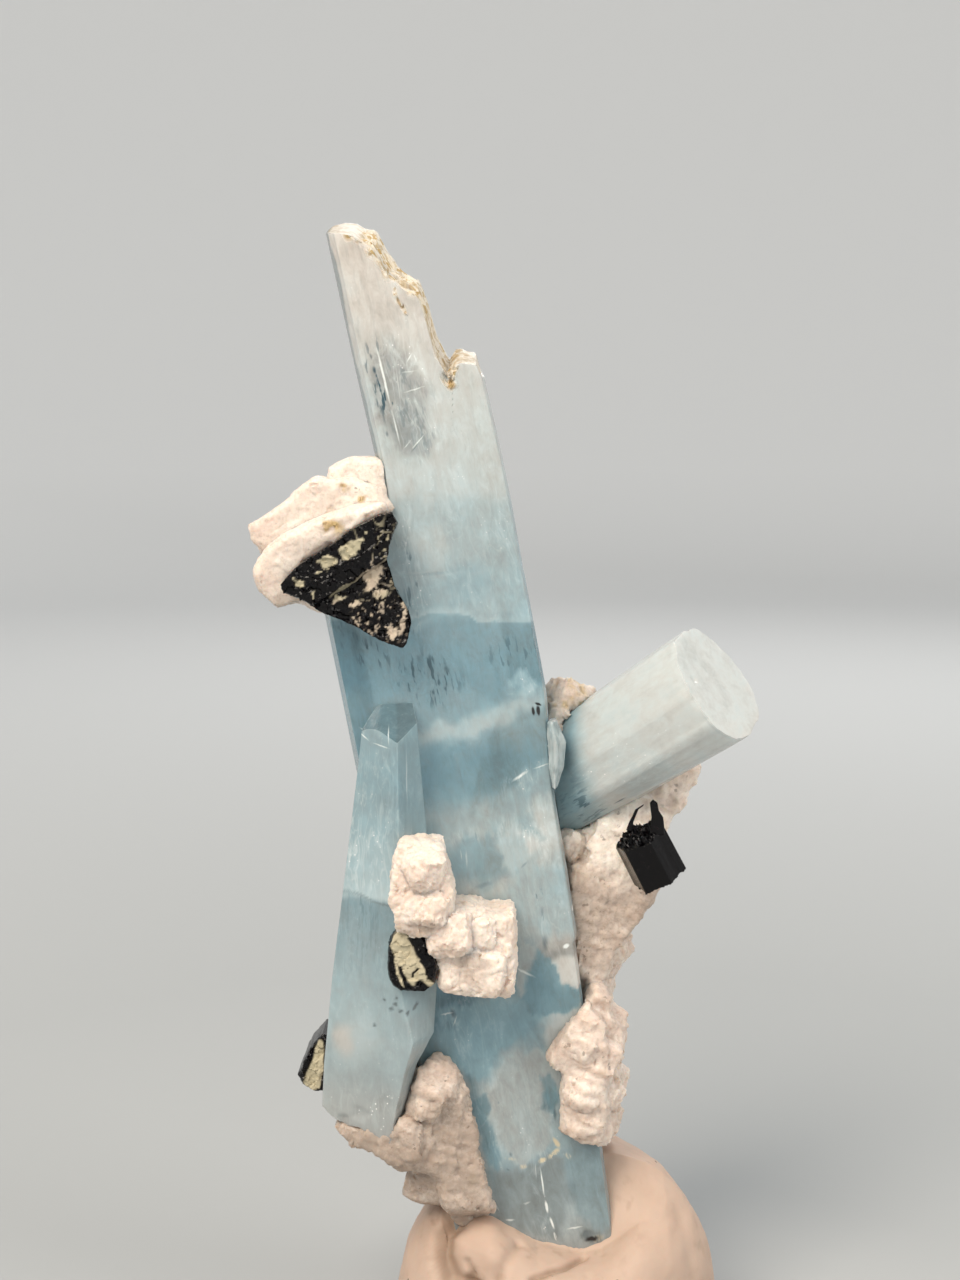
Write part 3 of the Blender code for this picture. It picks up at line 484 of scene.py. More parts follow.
# Milk: veils of trapped fluid, feathered along the prism.
milk = np.interp(
    level, [14, 30, 38, 46, 51, 56, 66, 68, 72, 76, 79, 83, 87, 90, 97, 99, 102, 105, 114, 116, 124, 131,
            134, 143, 156, 172],
    [0.5, 0.48, 0.62, 0.6, 0.46, 0.42, 0.44, 0.55, 0.7, 0.6, 0.46, 0.6, 0.48, 0.3, 0.28, 0.36, 0.34,
     0.26, 0.26, 0.6, 0.58, 0.66, 0.8, 0.78, 0.82, 0.92],
)
milk += 0.3 * smooth(2.8, 0.4, band) + 0.12 * wander
milk += painted(x, z, (
    (-22.6, 147.4, 3.9, 8.8, 13.0, 0.5, -0.42), (-4.9, 105.6, 1.9, 1.8, 0.0, 0.4, 0.5),
    (-18.6, 125.0, 2.6, 4.0, 0.0, 0.9, 0.14), (1.2, 62.2, 2.8, 2.6, 0.0, 0.5, 0.6),
    (-8.0, 57.0, 3.2, 2.8, 20.0, 1.2, 0.3), (-0.5, 55.0, 3.0, 2.0, 0.0, 0.8, 0.2),
    (5.4, 31.0, 2.6, 4.4, 8.0, 0.6, -0.26), (-0.4, 43.2, 1.2, 2.6, 0.0, 0.5, -0.3),
    (1.5, 23.5, 4.0, 3.2, 10.0, 0.8, 0.2), (-5.6, 80.6, 2.2, 2.8, 0.0, 0.6, 0.15),
    (-4.2, 47.6, 5.0, 6.0, 10.0, 1.0, 0.12), (-7.0, 38.6, 2.5, 6.4, 4.0, 0.7, 0.08),
    (-2.6, 37.2, 2.6, 4.4, 0.0, 0.7, 0.14), (0.6, 57.4, 3.4, 3.0, 0.0, 1.0, 0.16),
    (-13.6, 46.0, 2.4, 5.2, 14.0, 0.8, -0.14),
    (-13.2, 31.0, 2.2, 6.0, 14.0, 0.6, 0.2),
))
torn = 0.35 * painted(x, z, ((-2.0, 84.5, 3.6, 6.0, -10.0, 0.8, 1.0), (-6.0, 42.0, 5.0, 8.0, 0.0, 0.8, 0.9)))
milk += torn * feather
seam_rise = grid[..., 2] - seam
milk += 0.3 * smooth(-0.2, 0.2, seam_rise) * smooth(1.4, 0.0, seam_rise)
milk = np.where(on_cap > 0.5, 0.95, milk)

# Wisps: white feathered fibres, on which painted glints also show.  Dashes: short dark tubes along the
# prism.  Smoke: soft grey.
wisp = 0.2 * above + painted(x, z, (
    (-4.6, 91.6, 4.6, 1.5, 40.0, 0.8, 0.9), (-1.6, 85.0, 3.2, 4.6, -15.0, 0.8, 0.8),
    (-20.9, 147.6, 3.8, 8.6, 13.0, 0.6, 1.0), (-20.9, 121.5, 1.2, 8.4, 8.0, 0.7, 0.8),
    (-1.2, 71.5, 4.0, 5.0, 0.0, 0.7, 0.6), (-13.0, 55.0, 4.5, 7.0, 0.0, 0.8, 0.4),
    (-1.4, 27.0, 1.6, 7.0, 5.0, 0.7, 0.8), (-6.0, 40.0, 6.0, 8.0, 0.0, 0.8, 0.5),
    (-4.9, 105.6, 2.2, 2.1, 0.0, 0.6, 0.5), (-10.0, 128.0, 8.0, 9.0, 0.0, 0.8, 0.25),
))
wisp += 0.5 * smooth(2.4, 0.4, near_path(np.stack([x, z], -1), ((-19.0, 82.0), (-8.0, 84.5), (1.0, 80.0))))
dash = 0.1 + painted(x, z, (
    (-18.6, 106.6, 4.6, 3.4, -12.0, 0.8, 1.0), (-26.8, 109.6, 2.6, 2.0, 0.0, 0.7, 0.9),
    (-6.0, 110.0, 3.6, 2.4, 0.0, 0.8, 0.7), (-30.5, 113.0, 3.4, 2.2, -20.0, 0.6, 0.6),
    (-25.2, 149.5, 1.2, 6.0, 12.0, 0.6, 0.9), (-21.4, 147.0, 3.0, 7.5, 13.0, 0.7, 0.4),
    (-1.6, 75.0, 0.9, 1.2, 0.0, 0.4, 0.9), (-1.1, 70.2, 0.9, 1.3, 0.0, 0.4, 0.9),
    (-15.0, 57.0, 2.0, 2.6, 0.0, 0.7, 0.3), (-21.4, 121.0, 0.8, 8.0, 9.0, 0.6, 0.7),
))
smoke = painted(x, z, (
    (-22.4, 150.6, 2.8, 4.0, 13.0, 0.7, 0.2), (-21.4, 143.6, 2.4, 3.4, 13.0, 0.7, 0.26),
    (-1.4, 72.6, 1.4, 3.4, 0.0, 0.7, 0.3), (6.0, 20.6, 1.6, 1.2, 10.0, 0.5, 0.8),
    (-2.0, 20.0, 2.4, 0.7, 0.0, 0.8, 0.3), (-10.0, 128.0, 10.0, 8.0, 0.0, 0.9, 0.06),
))
left_edge = np.interp(z, MAIN_LEVELS[:, 0], MAIN_LEVELS[:, 1])
smoke = np.where(on_cap > 0.5, 0.5, smoke * (0.55 + 0.9 * feather))
smoke += 0.75 * smooth(0.85, 0.55, grid[..., 0] - left_edge) * above
warm = np.interp(level, [14, 24, 32, 44, 60, 68, 72, 78, 118, 132, 150, 160, 172],
                 [0.5, 0.42, 0.2, 0.16, 0.04, 0.25, 0.25, 0.05, 0.05, 0.12, 0.32, 0.66, 0.88])
warm += (
    0.5 * patch(x, z, (1.4, 66.0), (3.2, 3.0), 0.0, 0.7)
    - 0.25 * patch(x, z, (-28.4, 150.0), (1.6, 14.0), 13.0, 0.7)
)
warm = np.where(on_cap > 0.5, 1.0, warm)

# Zones with outlines of their own: corners, softness of the edge, then blue, milk, smoke and warm inside.
# Each takes over most of what was there before.
ZONE_HOLD = 0.85
ZONES = (
    (((-5.1, 77.3), (3.1, 79.6), (5.4, 68.9), (0.9, 68.2), (-3.6, 68.9), (-11.0, 72.8), (-7.3, 75.0)),
     1.0, 0.32, 0.68, 0.1, 0.0),
    (((-14.7, 82.9), (-8.5, 83.2), (-8.5, 77.8), (-14.3, 76.2), (-15.4, 79.3)),
     1.0, 0.44, 0.44, 0.0, 0.0),
    (((-8.2, 83.2), (-5.7, 83.6), (-3.6, 81.4), (-3.9, 78.7), (-6.0, 77.9), (-7.7, 78.4)),
     0.4, 0.28, 0.76, 0.0, 0.0),
    (((-8.3, 88.6), (-6.6, 91.1), (-3.6, 93.2), (0.2, 94.3), (1.1, 92.2), (-1.4, 90.4), (-3.3, 88.9),
      (-4.1, 86.8), (-1.4, 82.9), (-5.1, 83.8), (-7.2, 86.4)),
     0.8, 0.38, 0.58, 0.08, 0.0),
    (((-8.4, 31.8), (-6.2, 31.5), (-3.5, 32.4), (-0.7, 33.7), (1.4, 33.4), (2.6, 27.0), (1.1, 20.7),
      (-4.9, 22.3), (-8.0, 23.6), (-9.2, 27.8)),
     0.8, 0.5, 0.54, 0.52, 0.36),
    (((-17.3, 56.7), (-12.5, 57.8), (-8.0, 58.2), (-5.0, 57.5), (-1.9, 55.9), (-4.4, 52.7), (-6.8, 50.8),
      (-8.5, 49.0), (-9.9, 45.9), (-12.5, 46.2), (-14.8, 46.8), (-17.3, 48.3)),
     0.7, 0.66, 0.8, 0.0, 0.0),
    (((-15.2, 47.4), (-12.8, 45.5), (-11.3, 38.1), (-9.8, 31.8), (-8.3, 24.2), (-10.4, 27.0),
      (-12.5, 34.9), (-14.3, 42.7)),
     0.5, 0.25, 0.78, 0.3, 0.35),
    (((-9.5, 43.5), (-7.7, 48.0), (-5.8, 49.7), (-3.2, 50.8), (1.0, 49.6), (1.9, 45.1), (-1.2, 44.9),
      (-2.0, 42.0), (-0.2, 38.1), (-0.6, 35.2), (-3.5, 32.9), (-5.7, 32.4), (-7.2, 34.9), (-8.4, 39.6)),
     0.4, 0.18, 0.74, 0.32, 0.16),
    (((-12.8, 43.1), (-9.8, 43.7), (-9.5, 39.6), (-8.4, 36.5), (-8.0, 32.1), (-9.5, 32.1), (-11.0, 38.1),
      (-12.1, 41.2)),
     0.35, 0.62, 0.48, 0.0, 0.0),
    (((-1.7, 52.8), (0.4, 55.8), (3.9, 56.7), (5.8, 52.8), (6.1, 48.7), (1.3, 47.1), (-0.5, 49.3)),
     0.8, 0.1, 0.86, 0.16, 0.25),
    (((-1.8, 46.2), (0.0, 46.2), (0.7, 43.5), (0.1, 39.6), (-0.9, 41.2), (-1.5, 43.5)),
     0.3, 0.6, 0.46, 0.0, 0.0),
    (((1.5, 34.6), (5.3, 36.2), (7.8, 36.5), (9.6, 22.6), (6.9, 21.3), (3.8, 24.7), (2.9, 30.2)),
     0.7, 0.6, 0.56, 0.2, 0.2),
    (((-2.4, 65.6), (-0.4, 65.1), (0.9, 62.1), (1.2, 60.7), (3.6, 60.4), (5.7, 58.2), (3.9, 56.7),
      (-0.8, 55.5), (-3.5, 56.4), (-5.0, 58.2), (-4.0, 62.1)),
     0.3, 0.66, 0.56, 0.0, 0.0),
    (((0.9, 64.1), (3.9, 64.7), (6.0, 62.5), (6.8, 60.1), (2.7, 60.2), (0.9, 60.7)),
     0.35, 0.06, 0.95, 0.06, 0.6),
    (((-5.0, 67.4), (-2.7, 65.9), (-3.7, 62.1), (-4.9, 58.2), (-5.6, 59.8)),
     0.4, 0.22, 0.76, 0.3, 0.25),
)
edge_x = grid[..., 0] + 0.7 * cloud(grid, 1.6, 55, 3) + 0.25 * cloud(grid, 0.8, 57, 2)
edge_z = grid[..., 2] + 0.8 * cloud(grid, 1.6, 56, 3) + 1.3 * cloud(grid, (0.7, 0.7, 3.2), 58, 2)
for corners, soft, *values in ZONES:
    held = ZONE_HOLD * smooth(-soft, soft, enclosed(edge_x, edge_z, corners))
    for shade, value in zip((blue, milk, smoke, warm), values):
        shade += held * (value - shade)

# Crust: tan iron-stained grit on the break.
crust = gritty(grid[..., 0], grid[..., 2]) * (y < -2.0) * smooth(-0.6, 0.1, cloud(grid, 0.9, 89, 3))
grit_share = smooth(-29.0, -27.0, x) * smooth(-12.0, -18.0, x)
gravel = 0.55 + grit_share * (0.15 + 0.4 * smooth(-0.4, 0.4, cloud(grid, 1.4, 90, 3)))
crust = np.where(on_cap > 0.5, gravel, crust)

# Marks inside the crystals, each along a line: the line's two ends, across and up, then half the mark's
# width and its strength.  They are healed cracks and flat bubbles that catch the light, dark growth tubes,
# cream to tan iron stain along a healed break, and specks of black tourmaline.  Among the cracks are also
# painted highlights: white glints, and bright lines along the front prism's top rim.
CRACKS_AND_HIGHLIGHTS = (
    (-25.9, 154.9, -23.8, 145.9, 0.2, 0.75), (-23.8, 146.1, -22.4, 140.0, 0.18, 0.6),
    (-23.3, 153.4, -22.2, 144.9, 0.16, 0.35), (-22.9, 150.9, -19.4, 151.3, 0.16, 0.4),
    (-22.6, 147.9, -18.0, 149.3, 0.16, 0.5), (-21.6, 152.3, -20.7, 153.9, 0.14, 0.6),
    (-20.6, 153.9, -20.0, 152.3, 0.14, 0.5), (-21.3, 139.5, -18.6, 142.6, 0.14, 0.55),
    (-22.2, 139.8, -20.6, 141.7, 0.12, 0.55), (-6.6, 91.0, -3.6, 93.1, 0.32, 0.6),
    (-3.6, 93.0, -0.3, 94.1, 0.18, 0.5), (-14.0, 81.6, -13.6, 79.0, 0.16, 0.35),
    (-13.1, 81.9, -12.9, 77.4, 0.25, 0.35), (-17.2, 55.9, -14.7, 56.4, 0.22, 0.5),
    (-15.2, 53.7, -14.3, 56.3, 0.18, 0.4), (-1.9, 32.2, -1.2, 27.1, 0.16, 0.7),
    (-1.1, 26.8, -0.7, 24.8, 0.24, 0.9), (-0.4, 24.2, 0.3, 22.2, 0.2, 0.8),
    (0.2, 21.8, 0.6, 20.4, 0.2, 0.8), (-2.7, 33.4, -2.4, 29.6, 0.14, 0.4),
    (-7.4, 23.8, -5.5, 23.8, 0.26, 0.55), (-9.2, 27.3, -7.8, 24.6, 0.2, 0.45),
    (-4.8, 26.2, -3.0, 26.7, 0.3, 0.35), (1.8, 22.2, 5.0, 22.6, 0.22, 0.55),
    # Painted glints: white spots of reflected light near the right edge, on this line and the next.
    (2.6, 53.1, 3.1, 52.6, 0.3, 0.9), (1.8, 52.8, 2.0, 52.4, 0.2, 0.9), (2.6, 49.3, 3.2, 49.0, 0.28, 0.9),
    (2.9, 72.3, 3.0, 71.2, 0.28, 0.9), (1.4, 66.0, 2.3, 66.6, 0.35, 0.9),
    # Painted highlights, from the second mark on this line to the end of the table: bright lines along the
    # front prism's top rim.
    (-6.4, 63.4, -2.2, 61.2, 0.3, 0.5), (-28.9, 99.6, -26.8, 98.2, 0.16, 0.6),
    (-26.8, 98.2, -23.4, 97.6, 0.16, 0.55), (-24.1, 101.0, -24.0, 97.8, 0.14, 0.6),
    (-21.5, 99.6, -21.4, 87.0, 0.12, 0.4),
)
TUBES = (
    (-26.8, 153.9, -26.5, 152.6, 0.3, 0.5), (-26.3, 152.0, -26.0, 150.6, 0.36, 0.7),
    (-25.9, 150.4, -25.6, 148.4, 0.3, 0.5), (-24.5, 142.8, -24.3, 141.6, 0.24, 0.5),
    (-21.2, 139.2, -19.6, 141.2, 0.12, 0.5), (-1.4, 68.6, -1.2, 64.8, 0.75, 0.5),
    (-1.9, 72.9, -1.6, 70.2, 0.35, 0.35), (-12.8, 74.8, -8.0, 76.6, 0.7, 0.35),
    (-5.2, 77.8, -3.6, 79.6, 0.3, 0.35), (-15.3, 57.2, -14.6, 55.2, 0.5, 0.6),
    (-10.4, 38.2, -9.5, 33.6, 0.35, 0.35), (0.2, 42.2, 0.4, 38.6, 0.3, 0.5),
    (-6.6, 34.6, -6.2, 33.6, 0.4, 0.45), (-7.2, 32.0, -6.4, 31.4, 0.3, 0.4),
    (-8.4, 42.6, -8.1, 41.8, 0.3, 0.3), (10.9, 88.6, 8.8, 87.0, 0.2, 0.6),
    (9.8, 86.0, 7.0, 84.0, 0.24, 0.6), (8.6, 86.8, 6.2, 85.0, 0.16, 0.5),
)
IRON = (
    (0.0, 36.8, 1.2, 35.0, 0.42, 0.8), (1.2, 35.0, -0.7, 33.3, 0.5, 0.8),
    (-0.9, 33.4, -2.2, 32.8, 0.5, 0.8), (-3.6, 32.2, -5.2, 32.1, 0.5, 0.6),
    (-5.2, 33.2, -7.6, 33.6, 0.4, 0.5), (1.4, 34.6, 3.2, 33.0, 0.5, 0.6),
    (-9.8, 25.4, -7.4, 24.6, 0.5, 0.4), (5.0, 20.0, 8.6, 21.4, 1.0, 0.4),
)
SPECKS = (
    (-3.3, 102.5, -3.0, 101.0, 0.3, 0.95), (-2.5, 102.7, -2.3, 100.9, 0.34, 0.95),
    (-3.0, 103.0, -1.9, 102.6, 0.22, 0.9), (1.2, 51.7, 1.4, 51.6, 0.2, 0.8),
    (1.8, 51.3, 2.0, 51.1, 0.22, 0.8), (2.4, 50.7, 2.6, 50.5, 0.2, 0.8), (1.0, 50.6, 1.2, 50.5, 0.2, 0.7),
    (1.0, 47.0, 1.1, 46.9, 0.16, 0.8), (4.6, 20.2, 7.4, 20.9, 0.55, 0.75),
)
MARK_SPACING = 3.0  # mm between the marks of one set
MARK_REACH = 0.8  # mm round a mark in which it is read
MARK_CORE, MARK_EDGE = 0.6, 1.25  # half widths: where a mark is whole, and where it has faded out
FAR = 9.0  # what is read away from every mark


def apart(one, two):
    """The least distance between two marks' middle lines."""
    steps = np.linspace(0.0, 1.0, 9)[:, None]
    points = np.array(one[:2]) + steps * (np.array(one[2:4]) - np.array(one[:2]))
    return near_path(points, (two[:2], two[2:4])).min()


def sets_of(kind, marks):
    """The marks shared out to numbered sets of their kind, in which they stand MARK_SPACING apart."""
    sets = []
    for mark in marks:
        free = [group for group in sets if min(apart(mark, other) for other in group) > MARK_SPACING]
        if not free:
            sets.append([])
            free = sets[-1:]
        free[0].append(mark)
    return {f"{kind}_{k}": group for k, group in enumerate(sets)}


def reading_of(x, z, mark):
    """Where points lie in a mark: along it in half lengths and across it in half widths.  The third
    number is small for a strong mark.  The mark shows where the three make a short vector."""
    x0, z0, x1, z1, half, amount = mark
    reach = max(math.hypot(x1 - x0, z1 - z0) / 2.0, half)
    lean = math.atan2(z1 - z0, x1 - x0)
    right, up = x - (x0 + x1) / 2.0, z - (z0 + z1) / 2.0
    along = (right * math.cos(lean) + up * math.sin(lean)) / reach
    across = (up * math.cos(lean) - right * math.sin(lean)) / half
    faint = np.interp(amount, (0.0, 0.2, 0.4, 0.6, 0.9), (1.15, 1.05, 0.92, 0.75, 0.3))
    return np.stack([along, across, 0.0 * x + faint], -1)


def marks_on(x, z):
    """What each set of marks reads at points.  Away from the nearest mark the third number is FAR."""
    readings = {}
    for name, marks in MARK_SETS.items():
        near, reading = np.full(x.shape, 1e9), np.zeros(x.shape + (3,))
        for mark in marks:
            gap = near_path(np.stack([x, z], -1), (mark[:2], mark[2:4])) - MARK_EDGE * mark[4]
            closer = gap < near
            reading[closer] = reading_of(x[closer], z[closer], mark)
            near[closer] = gap[closer]
        reading[..., 2] = np.where(near > MARK_REACH, FAR, reading[..., 2])
        readings[name] = reading
    return readings


MARK_SETS = {
    **sets_of("crack", CRACKS_AND_HIGHLIGHTS), **sets_of("tube", TUBES), **sets_of("iron", IRON),
    **sets_of("speck", SPECKS),
}

SHADES = ("blue", "milk", "smoke", "crust", "warm", "dash", "wisp", "torn", "grain")


def shades_of(points, *values):
    """What a beryl skin stores at its points: a value for each of SHADES, and the marks that lie there."""
    return {**dict(zip(SHADES, values)), **marks_on(points[..., 0], points[..., 2])}


main_shades = shades_of(grid, blue, milk, smoke, crust, warm, dash, wisp, 0.0 * x + 1.0, grain * 0.001)

beryl, tree, out = finish_of("aquamarine_beryl")
# Natural beryl, grown with flat glassy faces.  It is see-through between its veils, and its body colour
# comes from iron: the absorption takes out red, and the milky zones send back a paler blue.
coords = add(tree, "TexCoord").outputs["Object"]
masks = {key: add(tree, "Attribute", {"attribute_name": key}).outputs["Fac"] for key in SHADES[:-1]}
fibres = add(tree, "Attribute", {"attribute_name": "grain"}).outputs["Vector"]
# Growth tubes are about 0.05 mm wide; they are drawn at 0.4 mm so that they show.
long_way, half_way, short_way = (
    add(tree, "Mapping", {"Scale": (1.0, 1.0, squeeze)}, {"Vector": fibres}).outputs[0]
    for squeeze in (0.06, 0.4, 0.24)
)
# Mist of 4 mm, torn into wisps, and healed cracks that show as pale threads.
growth, tubes, mist, thread, torn_mist = (
    add(
        tree, "TexNoise", {"Scale": scale, "Detail": detail, "Roughness": rough, "Distortion": warp},
        {"Vector": vector},
    ).outputs["Fac"]
    for vector, scale, detail, rough, warp in (
        (long_way, 1900.0, 3.0, 0.65, 0.0), (short_way, 1500.0, 2.0, 0.6, 0.0),
        (coords, 260.0, 4.0, 0.62, 0.0), (short_way, 330.0, 2.0, 0.55, 1.6),
        (half_way, 620.0, 4.0, 0.68, 0.8),
    )
)
sand = add(tree, "TexVoronoi", {"Scale": 1250.0, "feature": "F1"}, {"Vector": coords})


def drawn(tree, kind, wobble):
    """All sets of marks of one kind as a node: 1 along the marks' middle lines and 0 outside."""
    shown = None
    for name in MARK_SETS:
        if name.startswith(kind):
            reading = add(tree, "Attribute", {"attribute_name": name}).outputs["Vector"]
            bent = add(tree, "VectorMath", {"operation": "ADD"}, {0: reading, 1: wobble}).outputs[0]
            far = add(tree, "VectorMath", {"operation": "LENGTH"}, {0: bent}).outputs["Value"]
            mark = product(tree, 1.0, (far, MARK_EDGE, MARK_CORE))
            if shown is not None:
                mark = add(tree, "Math", {"operation": "MAXIMUM"}, {0: shown, 1: mark}).outputs[0]
            shown = mark
    return shown


even, fine_lines, rags, ridge = (
    add(tree, "Math", {"operation": "SUBTRACT", 1: 0.5}, {0: value}).outputs[0]
    for value in (mist, growth, torn_mist, thread)
)
wobble = add(tree, "VectorMath", {"operation": "MULTIPLY", 1: (0.0, 1.8, 0.0)}, {0: rags}).outputs[0]
cracks_and_highlights, tubed, ironed, specked = (drawn(tree, kind, wobble) for kind in ("crack", "tube", "iron", "speck"))
fine_lines, rags = (
    add(tree, "Math", {"operation": "MULTIPLY"}, {0: value, 1: masks["torn"]}).outputs[0]
    for value in (fine_lines, rags)
)
depth = sum_of(tree, masks["blue"], (fine_lines, 0.14), (even, 0.5), (rags, 0.42))
body = add(tree, "ValToRGB", {}, {0: depth})
stops = (
    (0.0, "#DDE1DF"), (0.2, "#C6D5D8"), (0.4, "#A9C5CE"), (0.6, "#8AB3C1"), (0.8, "#6E9FB2"),
    (1.0, "#4F859B"),
)
ramp = body.color_ramp
for place, colour in stops[1:-1]:
    ramp.elements.new(place)
for element, (place, colour) in zip(ramp.elements, stops):
    element.position, element.color = place, linear(colour)
cloudy = sum_of(tree, masks["milk"], (even, 0.9), (fine_lines, 0.12), (rags, 0.9))
ridge = add(tree, "Math", {"operation": "ABSOLUTE"}, {0: ridge}).outputs[0]
threads = product(tree, 0.22, (ridge, 0.035, 0.0), masks["wisp"])
feathers = product(tree, 0.55, (torn_mist, 0.5, 0.72), masks["wisp"])
# Painted glints: white spots of reflected light, scattered over the wisps.
painted_glints = product(tree, 1.2, (sand.outputs["Distance"], 0.16, 0.08), (torn_mist, 0.5, 0.6), masks["wisp"])
dashes = product(tree, 0.85, (tubes, 0.54, 0.63), masks["dash"])
cracks_and_highlights = product(tree, 1.0, cracks_and_highlights, (torn_mist, 0.24, 0.46))
ironed = product(tree, 1.0, ironed, (torn_mist, 0.42, 0.56))
each_grain = add(tree, "SeparateColor", {}, {"Color": sand.outputs["Color"]}).outputs[0]
sparkle = layered(tree, "#DACEB9", (product(tree, 1.0, (each_grain, 0.4, 0.8)), "#B0935F"))
coloured_with_highlights = layered(
    tree, body.outputs["Color"], (masks["warm"], "#D9CDC2"), (product(tree, 0.2, cloudy, cloudy), "#D6DAD8"),
    (feathers, "#DCE3E2"), (threads, "#E2E8E6"), (masks["smoke"], "#7D8A8E"), (dashes, "#46626E"),
    (tubed, "#4E6470"), (cracks_and_highlights, "#E9EEEC"), (ironed, "#CFC4A8"), (specked, "#1A1B1D"),
    (painted_glints, "#FFFFFF"), (masks["crust"], sparkle),
)
# Milk and whatever lies on the crystal or in it stop the light; the rest lets it through.
covered = sum_of(
    tree, masks["crust"], (threads, 0.8), (feathers, 0.5), (dashes, 0.4), (cracks_and_highlights, 0.8), (tubed, 0.4),
    (specked, 1.0), (ironed, 0.9),
)
clear = add(
    tree, "Math", {"operation": "MULTIPLY_ADD", 1: -0.6, 2: 0.74, "use_clamp": True}, {0: cloudy},
)
bare = add(tree, "Math", {"operation": "SUBTRACT", 0: 1.0, "use_clamp": True}, {1: covered})
clear = product(tree, 1.0, clear.outputs[0], bare.outputs[0])
etched = add(tree, "Math", {"operation": "MULTIPLY_ADD", 1: 0.14, 2: 0.12}, {0: cloudy})
rough = sum_of(tree, etched.outputs[0], (masks["crust"], 0.5))
glassy = add(
    tree, "BsdfPrincipled",
    {"IOR": 1.577, "Subsurface Weight": 0.35, "Subsurface Radius": (0.8, 1.0, 1.05),
     "Subsurface Scale": 0.003},
    {"Base Color": coloured_with_highlights, "Roughness": rough, "Transmission Weight": clear},
)
depths = add(tree, "VolumeAbsorption", {"Color": linear("#B9DCE5"), "Density": 12.0})
tree.links.new(glassy.outputs[0], out.inputs["Surface"])
tree.links.new(depths.outputs[0], out.inputs["Volume"])

main_prism = skin("main_prism", grid, main_shades, beryl)
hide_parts("main_crystal")

# The shorter prism in front ---------------------------------------------------------------------------
# A second beryl crystal, grown against the tall one's front.  Its top is one sloping face, and its foot
# fades into the feldspar.
FRONT_LEVELS = np.array([  # height, left edge, right edge, the front ridge's depth and its share of the way
    (38.0, -34.4, -22.8, -14.8, 0.88), (43.0, -34.5, -22.0, -15.6, 0.88), (50.0, -34.1, -20.4, -16.4, 0.88),
    (55.0, -33.6, -17.8, -17.0, 0.82), (63.0, -32.8, -17.2, -17.4, 0.66), (84.0, -30.1, -18.7, -17.0, 0.66),
    (110.0, -26.8, -20.8, -16.4, 0.66),
])


def front_outline(height, side, share):
    """A point of the five-cornered section at each height, and its side's outward direction."""
    left, right, ridge, way = (
        np.interp(height, FRONT_LEVELS[:, 0], FRONT_LEVELS[:, i]) for i in (1, 2, 3, 4)
    )
    back = np.full_like(left, -7.9)
    across = np.stack([left, left + way * (right - left), right, right - 0.6, left + 1.8], -1)
    deep = np.stack([back - 3.1, ridge, back - 4.5, back, back], -1)
    return on_section(across, deep, side, share)


def front_top(x, y):
    """The sloping end face: a plane that falls towards the front, rounded down at the left."""
    return 103.0 + 0.034 * (x + 24.0) + 0.506 * (y + 8.0) - 0.17 * np.maximum(0.0, -24.8 - x) ** 2


FRONT_FOOT = np.array([  # across, height of the broken foot
    (-34.8, 43.8), (-33.0, 42.0), (-30.6, 41.0), (-25.6, 39.8), (-22.0, 38.6),
])


def front_foot(x, y):
    """The ragged lower end, higher towards the left corner."""
    at = np.stack([x, y, np.zeros_like(x)], -1)
    return np.interp(x, FRONT_FOOT[:, 0], FRONT_FOOT[:, 1]) + 0.5 * cloud(at, 2.2, 131, 3)


middle = np.array([[-31.0, -11.0], [-24.0, -17.0], [-19.0, -12.4], [-19.6, -7.9], [-29.0, -7.9]])
side, share = columns_of(middle, (0.28, 0.28, 0.4, 0.6, 0.5))
up = np.linspace(0.0, 1.0, 200)[:, None]
z = 40.0 + 60.0 * up + 0.0 * share
for _ in range(16):  # the ends' heights and the lean settle together
    x, y, nx, ny = front_outline(z, side, share)
    low, high = front_foot(x, y), front_top(x, y)
    z = low + (high - low) * up
at = np.stack([x, y, z], -1)
lift = cloud(at, (0.5, 0.5, 26.0), 103, 2) * 0.035 + cloud(at, (2.2, 2.2, 40.0), 105, 1) * 0.04
lift += cloud(at, (9.0, 9.0, 15.0), 107, 2) * 0.08
lift -= 0.5 * smooth(48.0, 40.0, z) * smooth(0.1, 0.6, cloud(at, 2.4, 109, 3))
walls = np.stack([x + nx * lift, y + ny * lift, z], -1)
shrink = np.linspace(1.0, 0.0, 41)[1:, None, None]
grid, on_cap = closed(
    walls, shrink, lambda sole: front_foot(sole[..., 0], sole[..., 1]),
    lambda cap: front_top(cap[..., 0], cap[..., 1]) + 0.03 * cloud(cap, 2.0, 111, 2),
)
x = grid[..., 0] + 1.0 * cloud(grid, 2.6, 112, 3)
z = grid[..., 2] + 1.0 * cloud(grid, 2.6, 114, 3)
wander = cloud(grid, 7.0, 113, 3)
feather = 0.5 + 0.5 * cloud(grid, (1.2, 1.2, 9.0), 115, 3)
seam = 75.7 - 0.9 * smooth(-30.0, -24.0, grid[..., 0]) + 0.25 * cloud(grid, 1.6, 117, 3)
seam += 0.4 * smooth(-32.2, -30.5, grid[..., 0])
below = smooth(0.1, -0.1, grid[..., 2] - seam)
blue = np.interp(z + 0.8 * wander, [40, 47, 55, 63, 74, 76, 84, 92, 100],
                 [0.26, 0.32, 0.36, 0.38, 0.46, 0.3, 0.38, 0.42, 0.36])
blue += 0.1 * wander + 0.06 * below + 0.2 * on_cap + 0.1 * smooth(72.0, 80.0, z)
milk = np.interp(z + 0.8 * wander, [40, 47, 55, 66, 75.0, 75.8, 79, 86, 94, 103],
                 [0.95, 0.9, 0.8, 0.6, 0.42, 0.84, 0.72, 0.56, 0.5, 0.5])
milk += 0.3 * patch(x, z, (-25.5, 81.0), (4.0, 6.0), 6.0, 0.6) * feather
milk += 0.25 * patch(x, z, (-29.0, 54.0), (2.6, 3.6), -30.0, 0.7) + 0.1 * wander - 0.24 * on_cap
